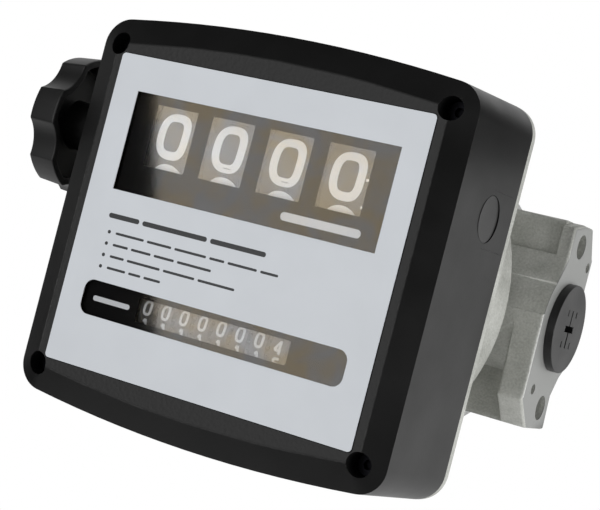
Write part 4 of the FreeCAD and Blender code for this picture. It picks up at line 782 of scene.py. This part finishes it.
@dataclass
class WitnessLines:
    """Two fine mould witness lines from the sides of the round side blank to the cover's rear edge.

    Each is half a bead: its section is radius * (sin, cos) of half a turn, carried along the drafted wall.
    """

    radius: float = 0.13
    steps: int = 12
    high_x: float = 80.0
    wall_top: float = 153.3
    rear_gap: float = 0.3
    sunk: float = 0.02
    section_steps: int = 9

    def build(self) -> Piece:
        """Build both lines.

        Returns:
            One piece with the two beads.
        """
        blank_low, blank_high = node_span("side_blank")
        cover_low, cover_high = node_span("front_cover")
        centre = (blank_low + blank_high) / 2
        reach = (blank_high[1] - blank_low[1]) / 2
        bottom = cover_low[2] + self.rear_gap
        along = np.linspace(0, 1, self.steps)[:, None]
        turn = np.linspace(0, math.pi, self.section_steps)[None, :]
        level = centre[2] + along * (bottom - centre[2])
        draft = (cover_high[0] - self.high_x) / (self.wall_top - cover_low[2])
        wall_x = cover_high[0] - draft * (level - cover_low[2])
        patches = []
        for side in (-1, 1):
            points = np.stack(
                [
                    wall_x - self.sunk + self.radius * np.sin(turn),
                    centre[1] + side * reach + side * self.radius * np.cos(turn) + 0 * level,
                    level + 0 * turn,
                ],
                axis=-1,
            )
            patches.append(grid_patch(points if side > 0 else points[::-1]))
        piece = make_piece("cover_witness_lines", *patches)
        return finished(piece, "housing", Palette.TRIM)


# ---- numbers


ARC_POINTS = 40


def straight(x0: float, y0: float, x1: float, y1: float, count: int = 12) -> Array:
    """Points from (x0, y0) to (x1, y1): start + share * (end - start)."""
    share = np.linspace(0.0, 1.0, count)[:, None]
    return np.array([x0, y0]) + share * np.array([x1 - x0, y1 - y0])


def bend(x: float, y: float, rx: float, ry: float, start: float, end: float, power: float = 2.0) -> Array:
    """Points of a superellipse arc: centre + radius * sign(cos) * |cos| ** (2 / power), sin alike.

    Args:
        x: Centre across.
        y: Centre along.
        rx: Radius across.
        ry: Radius along.
        start: First angle in degrees, from +x towards +y.
        end: Last angle.
        power: 2 for an ellipse, more for squarer shoulders.

    Returns:
        One point a line.
    """
    angle = np.radians(np.linspace(start, end, ARC_POINTS))
    share = 2.0 / power
    across = np.sign(np.cos(angle)) * np.abs(np.cos(angle)) ** share
    along = np.sign(np.sin(angle)) * np.abs(np.sin(angle)) ** share
    return np.stack([x + rx * across, y + ry * along], axis=1)


def six_strokes() -> list[Array]:
    """Strokes of a six: a loop below and a long arc from its left side over the top."""
    return [bend(0, -0.42, 1, 0.58, 0, 360), bend(0.25, -0.42, 1.25, 1.42, 62, 180)]


# Each number's strokes in a box from -1 to 1; the nine is the six turned half round.
STROKES: dict[int, Callable[[], list[Array]]] = {
    0: lambda: [bend(0, 0, 1, 1, 0, 360, 2.9)],
    1: lambda: [straight(0.1, -1, 0.1, 1), straight(0.1, 0.95, -0.6, 0.45)],
    2: lambda: [
        bend(0, 0.42, 1, 0.58, 175, -35), straight(0.82, 0.09, -0.95, -1), straight(-0.95, -1, 1, -1)
    ],
    3: lambda: [bend(0, 0.47, 0.9, 0.53, 160, -90), bend(0, -0.47, 1, 0.53, 90, -160)],
    4: lambda: [
        straight(0.45, -1, 0.45, 1), straight(0.45, 0.95, -1, -0.4), straight(-1, -0.4, 1, -0.4)
    ],
    5: lambda: [
        straight(0.85, 1, -0.75, 1), straight(-0.75, 1, -0.85, 0.05),
        bend(-0.03, -0.37, 1, 0.63, 145, -150),
    ],
    6: six_strokes,
    7: lambda: [straight(-1, 1, 1, 1), straight(1, 0.95, -0.35, -1)],
    8: lambda: [bend(0, 0.5, 0.82, 0.5, 0, 360), bend(0, -0.47, 1, 0.53, 0, 360)],
    9: lambda: [-stroke for stroke in six_strokes()],
}


def ribbon(path: Array, half_wide: float) -> Array:
    """Return the two edges of a ribbon: path - and + half_wide times its unit normal.

    Args:
        path: One point a line; it is closed where the last point is the first.
        half_wide: Half the ribbon's width.

    Returns:
        The edges as two rows.
    """
    along = np.gradient(path, axis=0)
    if np.allclose(path[0], path[-1]):
        along[0] = along[-1] = path[1] - path[-2]
    along /= np.linalg.norm(along, axis=1, keepdims=True)
    normal = np.stack([-along[:, 1], along[:, 0]], axis=1)
    return np.stack([path - half_wide * normal, path + half_wide * normal])


@dataclass
class NumberBand:
    """The ten numbers printed round one wheel, and on the fastest batch wheel a tick every half number.

    A point (x, v) of number k goes to the angle lift + direction * step * (k - shown) + v / radius round the
    wheel's axis, measured from +Z towards +Y.  Crossing strokes lie layer_step above each other.
    """

    wheel: str
    body: str
    tall: float
    wide: float
    stroke: float
    direction: int
    shown: int
    lift_deg: float
    ink: Palette
    proud: float = 0.05
    ticks: int = 0
    tick_long: float = 1.5
    tick_wide: float = 1.0
    tick_inset: float = 0.25
    layer_step: float = 0.01
    rim_slack: float = 0.05
    number_step_deg: ClassVar[float] = 36.0

    def rim(self) -> tuple[Array, float, float, float]:
        """Measure the wheel.

        Returns:
            Its centre, its radius and the two ends of its rim along X.
        """
        node = frame["nodes"][self.wheel]
        points = np.empty(len(node.data.vertices) * 3, np.float32)
        node.data.vertices.foreach_get("co", points)
        points = points.reshape(-1, 3) / MM
        low, high = points.min(0), points.max(0)
        centre, radius = (low + high) / 2, (high[2] - low[2]) / 2
        reach = np.hypot(points[:, 1] - centre[1], points[:, 2] - centre[2])
        rim_x = points[reach > radius - self.rim_slack, 0]
        return centre, float(radius), float(rim_x.min()), float(rim_x.max())

    def wrapped(self, flat: Array, turn: float, centre: Array, middle_x: float, rim: float) -> Array:
        """Wrap flat points (x, v) round the rim.

        Args:
            flat: The points, in millimetres.
            turn: The angle of v = 0.
            centre: A point on the wheel's axis.
            middle_x: Where x = 0 lies along the axis.
            rim: The radius to wrap at.

        Returns:
            The points in space.
        """
        angle = turn + flat[..., 1] / rim
        return np.stack(
            [middle_x + flat[..., 0], centre[1] + rim * np.sin(angle), centre[2] + rim * np.cos(angle)],
            axis=-1,
        )

    def build(self) -> Piece:
        """Build the band and put it on its wheel.

        Returns:
            The band, at the numbers shown at rest.
        """
        centre, radius, rim_low, rim_high = self.rim()
        middle_x = (rim_low + rim_high) / 2
        half = np.array([(self.wide - self.stroke) / 2, (self.tall - self.stroke) / 2])
        patches = []
        for number, strokes in STROKES.items():
            further = self.direction * self.number_step_deg * (number - self.shown)
            turn = math.radians(self.lift_deg + further)
            for layer, path in enumerate(strokes()):
                edges = ribbon(path * half, self.stroke / 2)
                rim = radius + self.proud + self.layer_step * layer
                patches.append(grid_patch(self.wrapped(edges, turn, centre, middle_x, rim)))
        end = rim_high - middle_x - self.tick_inset
        for count in range(self.ticks):
            turn = math.radians(self.lift_deg + 360.0 * count / self.ticks)
            edges = ribbon(straight(end - self.tick_long, 0, end, 0, 3), self.tick_wide / 2)
            patches.append(grid_patch(self.wrapped(edges, turn, centre, middle_x, radius + 2 * self.proud)))
        band = make_piece(f"{self.wheel}_numbers", *patches)
        return finished(band, self.body, self.ink)


@dataclass
class Numbers:
    """All number bands; the two registers' wheels turn opposite ways as they count."""

    batch: Sequence[str] = ("thousands", "hundreds", "tens", "units")
    total_shown: Sequence[int] = (0, 0, 0, 0, 0, 0, 0, 4)
    ticks_per_turn: int = 20
    batch_lift_deg: float = 3.5
    total_lift_deg: float = 9.5
    last_lift_deg: float = 5.5

    def build(self) -> None:
        """Build every band."""
        for count, name in enumerate(self.batch, start=1):
            NumberBand(
                f"batch_wheel_{count}", f"batch_{name}", tall=18.2, wide=13.9, stroke=3.3, direction=1,
                shown=0, lift_deg=self.batch_lift_deg, ink=Palette.NUMBER,
                ticks=self.ticks_per_turn if name == "units" else 0,
            ).build()
        last = len(self.total_shown)
        for count, shown in enumerate(self.total_shown, start=1):
            lift = self.total_lift_deg if count < last else self.last_lift_deg
            NumberBand(
                f"total_wheel_{count}", f"total_digit_{last + 1 - count}", tall=6.0, wide=3.8, stroke=1.05,
                direction=-1, shown=shown, lift_deg=lift, ink=Palette.SMALL_NUMBER, proud=0.03,
            ).build()


# ---- print on the label and the card


@dataclass
class Print:
    """Flat ink on the label and the card: plain bars and dots where a maker would put words.

    A bar has round ends: its edge is centre + half length * sign(cos) + half height * (cos, sin).
    """

    thick: float = 0.02
    edge_points: int = 24
    closed: float = 0.001
    word_gap: float = 1.5
    heading_place: tuple[float, float] = (-54.5, -1.6)
    heading_tall: float = 1.9
    heading: Sequence[float] = (14.0, 29.0, 24.0)
    rows: Sequence[Sequence[float]] = (
        (13.0, 11.0, 14.0, 6.5, 12.5, 7.5), (7.0, 9.0, 9.0, 15.0), (6.5, 15.0, 14.0, 16.0), (8.5, 5.5, 7.5)
    )
    rows_from: float = -3.4
    row_step: float = 4.45
    row_left: float = -49.5
    row_tall: float = 0.95
    dot_x: tuple[float, float] = (-53.2, -51.8)
    unit_mark: Sequence[Sequence[float]] = ((16.0, 12.0), (49.0, 15.2))
    total_mark: Sequence[Sequence[float]] = ((-53.5, -34.6), (-36.5, -32.6))

    def bar(self, low: Sequence[float], high: Sequence[float], level: float) -> Patch:
        """Return one bar.

        Args:
            low: Lower left corner on the dial, in millimetres.
            high: Upper right corner.
            level: Height of the printed face.

        Returns:
            The bar's wall and its top, closed in to the middle line.
        """
        low, high = np.array(low), np.array(high)
        centre, half = (low + high) / 2, (high - low) / 2
        angle = np.linspace(0, 2 * math.pi, self.edge_points, endpoint=False)
        ends = centre[0] + np.sign(np.cos(angle)) * max(half[0] - half[1], 0.0)
        rings = []
        for size, lift in ((1.0, 0.0), (1.0, self.thick), (self.closed, self.thick)):
            x = ends + size * half[1] * np.cos(angle)
            y = centre[1] + size * half[1] * np.sin(angle)
            rings.append(np.column_stack([x, y, np.full(len(angle), level + lift)]))
        return grid_patch(np.stack(rings)[:, ::-1], wrap_columns=True)

    def words(self, place: Sequence[float], tall: float, lengths: Sequence[float], level: float) -> list:
        """Return one row of bars.

        Args:
            place: The row's left end and its middle's height on the dial.
            tall: The bars' height.
            lengths: The bars' lengths.
            level: Height of the printed face.

        Returns:
            The bars, a gap apart.
        """
        left, middle = place
        patches = []
        for length in lengths:
            patches.append(self.bar((left, middle - tall / 2), (left + length, middle + tall / 2), level))
            left += length + self.word_gap
        return patches

    def lay(self, name: str, slot: str, ink: Palette, *patches: Patch) -> None:
        """Lay patches of ink, each facet shaded flat, on the fixed dial.

        Args:
            name: The print's name.
            slot: The record slot of its finish; not used.
            ink: The ink.
            patches: Its bars and dots.
        """
        piece = make_piece(name, *patches)
        piece.data.shade_flat()
        finished(piece, "housing", ink)

    def build(self) -> None:
        """Print the label's heading and rows and the two marks on the card."""
        face = node_span("dial_label")[1][2]
        card = node_span("dial_card")[1][2]
        heading = self.words(self.heading_place, self.heading_tall, self.heading, face)
        self.lay("label_heading", "dial_print", Palette.INK_DARK, *heading)
        left, right = self.dot_x
        dot_half = (right - left) / 2
        for count, lengths in enumerate(self.rows, start=1):
            middle = self.rows_from - self.row_step * count
            dot = self.bar((left, middle - dot_half), (right, middle + dot_half), face)
            row = self.words((self.row_left, middle), self.row_tall, lengths, face)
            self.lay(f"label_row_{count}", "dial_print", Palette.INK_DARK, dot, *row)
        self.lay("batch_unit_mark", "panel_print", Palette.INK_PALE, self.bar(*self.unit_mark, card))
        self.lay("total_mark", "panel_print", Palette.INK_PALE, self.bar(*self.total_mark, card))


# ---- stage


@dataclass
class Stage:
    """Floor, world, lamps, black flags and camera; lengths in millimetres, lamps in watts.

    A flag is given by its name, one corner and its two sides from there.  The flag on the floor by the
    casting is painted shadow, seen only in reflections.
    """

    camera_place: tuple[float, float, float] = (290.12, -1.89, 659.86)
    camera_turn_deg: tuple[float, float, float] = (0.345, 27.5, 14.54)
    lens_mm: float = 95.49
    sensor_mm: float = 36.0
    card_height: float = 900.0
    card_edge_x: float = -511.0
    card_roll_deg: float = 17.1
    card_wide: float = 560.0
    card_tall: float = 860.0
    card_watts: float = 3.7
    fill_watts: float = 4.8
    fill_place: tuple[float, float, float] = (950.0, -80.0, 225.0)
    fill_target: tuple[float, float, float] = (60.0, 0.0, 60.0)
    fill_size: tuple[float, float] = (500.0, 400.0)
    floor_half: float = 4000.0
    floor_drop: float = 0.2
    floor_mirror: float = 0.36
    world_fill: float = 0.55
    flags: Sequence[tuple] = (
        # The first flag lies on the floor by the casting and only reflections see it: painted shadow of the
        # casting on the floor, which darkens the upper side walls where they mirror the floor.
        ("painted floor shadow flag", (112, 60, 1), (400, 0, 0), (0, 300, 0)),
        ("overhead flag", (-2400, -2200, 1400), (0, 4400, 0), (3900, 0, 0)),
        ("far flag", (-2400, 1300, 60), (3900, 0, 0), (0, 0, 1340)),
        ("left flag", (-1500, -1300, 60), (0, 2600, 0), (0, 0, 1340)),
    )

    def floor(self) -> None:
        """Lay a pale floor just under the meter: white to the camera, part white to mirror and clear rays."""
        side = np.array([-self.floor_half, self.floor_half])
        x, y = np.meshgrid(side, side, indexing="ij")
        level = np.full_like(x, CAD_BOX[0][2] / MM - self.floor_drop)
        piece = make_piece("floor", grid_patch(np.stack([x, y, level], axis=-1)))
        material = bpy.data.materials.new("white studio floor")
        material.use_nodes = True
        tree = material.node_tree
        tree.nodes.clear()
        ray = add_node(tree, "LightPath")
        mirrored = add_node(tree, "Math", {
            0: ray.outputs["Is Glossy Ray"], 1: ray.outputs["Is Transmission Ray"],
        }, operation="MAXIMUM")
        part = add_node(tree, "Math", {0: mirrored.outputs[0], 1: self.floor_mirror}, operation="MULTIPLY")
        share = add_node(tree, "Math", {
            0: ray.outputs["Is Camera Ray"], 1: part.outputs[0],
        }, operation="MAXIMUM")
        paper = add_node(tree, "BsdfDiffuse", {"Color": linear("#eaeaea")})
        glow = add_node(tree, "Emission", {"Color": linear("#ffffff"), "Strength": 1.0})
        both = add_node(tree, "MixShader", {
            0: share.outputs[0], 1: paper.outputs["BSDF"], 2: glow.outputs["Emission"],
        })
        add_node(tree, "OutputMaterial", {"Surface": both.outputs["Shader"]})
        piece.data.materials.append(material)

    def world(self) -> None:
        """Set white surroundings for the camera, mirror and clear rays and a soft fill for the rest."""
        world = bpy.data.worlds.new("studio")
        bpy.context.scene.world = world
        world.use_nodes = True
        tree = world.node_tree
        tree.nodes.clear()
        ray = add_node(tree, "LightPath")
        seen = add_node(tree, "Math", {
            0: ray.outputs["Is Camera Ray"], 1: ray.outputs["Is Transmission Ray"],
        }, operation="MAXIMUM")
        mirrored = add_node(tree, "Math", {
            0: seen.outputs[0], 1: ray.outputs["Is Glossy Ray"],
        }, operation="MAXIMUM")
        strength = add_node(tree, "MapRange", {
            "Value": mirrored.outputs[0], "To Min": self.world_fill, "To Max": 1.0,
        })
        sky = add_node(tree, "Background", {
            "Color": linear("#ffffff"), "Strength": strength.outputs["Result"],
        })
        add_node(tree, "OutputWorld", {"Surface": sky.outputs["Background"]})

    def flag(self, name: str, corner: Sequence, first: Sequence, second: Sequence) -> None:
        """Hang a black flag that only mirror-like faces see.

        Args:
            name: The flag's name.
            corner: One corner in millimetres.
            first: The edge from it along the first side.
            second: The edge along the second side.
        """
        share = np.array([0.0, 1.0])
        points = (
            np.array(corner, float)
            + share[:, None, None] * np.array(first, float)
            + share[None, :, None] * np.array(second, float)
        )
        piece = make_piece(name, grid_patch(points))
        material = bpy.data.materials.new(f"{name} cloth")
        material.use_nodes = True
        tree = material.node_tree
        tree.nodes.clear()
        cloth = add_node(tree, "BsdfDiffuse", {"Color": linear("#0a0a0a")})
        add_node(tree, "OutputMaterial", {"Surface": cloth.outputs["BSDF"]})
        piece.data.materials.append(material)
        for way in ("camera", "diffuse", "transmission", "volume_scatter", "shadow"):
            setattr(piece, f"visible_{way}", False)

    def lamp(self, name: str, place: Sequence[float], target: Sequence[float], size: Sequence[float],
             watts: float, roll_deg: float = 0.0) -> None:
        """Add a white rectangular lamp.

        Args:
            name: The lamp's name.
            place: Its centre in millimetres.
            target: The point it faces.
            size: Its two sides.
            watts: Its power.
            roll_deg: Its turn about its own axis.
        """
        data = bpy.data.lights.new(name, "AREA")
        data.shape = "RECTANGLE"
        data.size, data.size_y = size[0] * MM, size[1] * MM
        data.energy = watts
        lamp = bpy.data.objects.new(name, data)
        lamp.location = Vector(place) * MM
        aim = (Vector(target) - Vector(place)).to_track_quat("-Z", "Y")
        lamp.rotation_euler = (aim @ Quaternion((0, 0, 1), math.radians(roll_deg))).to_euler()
        lamp.visible_camera = False
        bpy.context.scene.collection.objects.link(lamp)

    def lamps(self) -> None:
        """Hang the overhead card, whose left edge the window mirrors, and one low fill for the casting.

        The card's middle lies half its width from (card_edge_x, 0), square to its left edge.
        """
        roll = math.radians(self.card_roll_deg)
        half = self.card_wide / 2
        middle = (self.card_edge_x + half * math.cos(roll), half * math.sin(roll))
        place, size = (*middle, self.card_height), (self.card_wide, self.card_tall)
        self.lamp("overhead card", place, (*middle, 0), size, self.card_watts, self.card_roll_deg)
        self.lamp("low right fill", self.fill_place, self.fill_target, self.fill_size, self.fill_watts)

    def camera(self) -> None:
        """Place the camera that looks down on the dial, rolled and a little to the right."""
        data = bpy.data.cameras.new("camera")
        data.lens = self.lens_mm
        data.sensor_width = self.sensor_mm
        data.sensor_fit = "HORIZONTAL"
        data.clip_start, data.clip_end = 0.01, 50.0
        camera = bpy.data.objects.new("camera", data)
        camera.location = Vector(self.camera_place) * MM
        camera.rotation_mode = "ZXY"
        camera.rotation_euler = Euler([math.radians(turn) for turn in self.camera_turn_deg], "ZXY")
        bpy.context.scene.collection.objects.link(camera)
        bpy.context.scene.camera = camera

    def build(self) -> None:
        """Build the whole stage."""
        self.floor()
        self.world()
        for flag in self.flags:
            self.flag(*flag)
        self.lamps()
        self.camera()
        bpy.context.scene.view_settings.view_transform = "Standard"


def main() -> None:
    """Build the classes in order."""
    logging.basicConfig(level=logging.INFO, format="%(name)s: %(message)s")
    Stage().build()
    Solids().dress()
    SoftEdges().build()
    InletThread().build()
    WitnessLines().build()
    Numbers().build()
    Print().build()


if __name__ == "__main__":
    main()
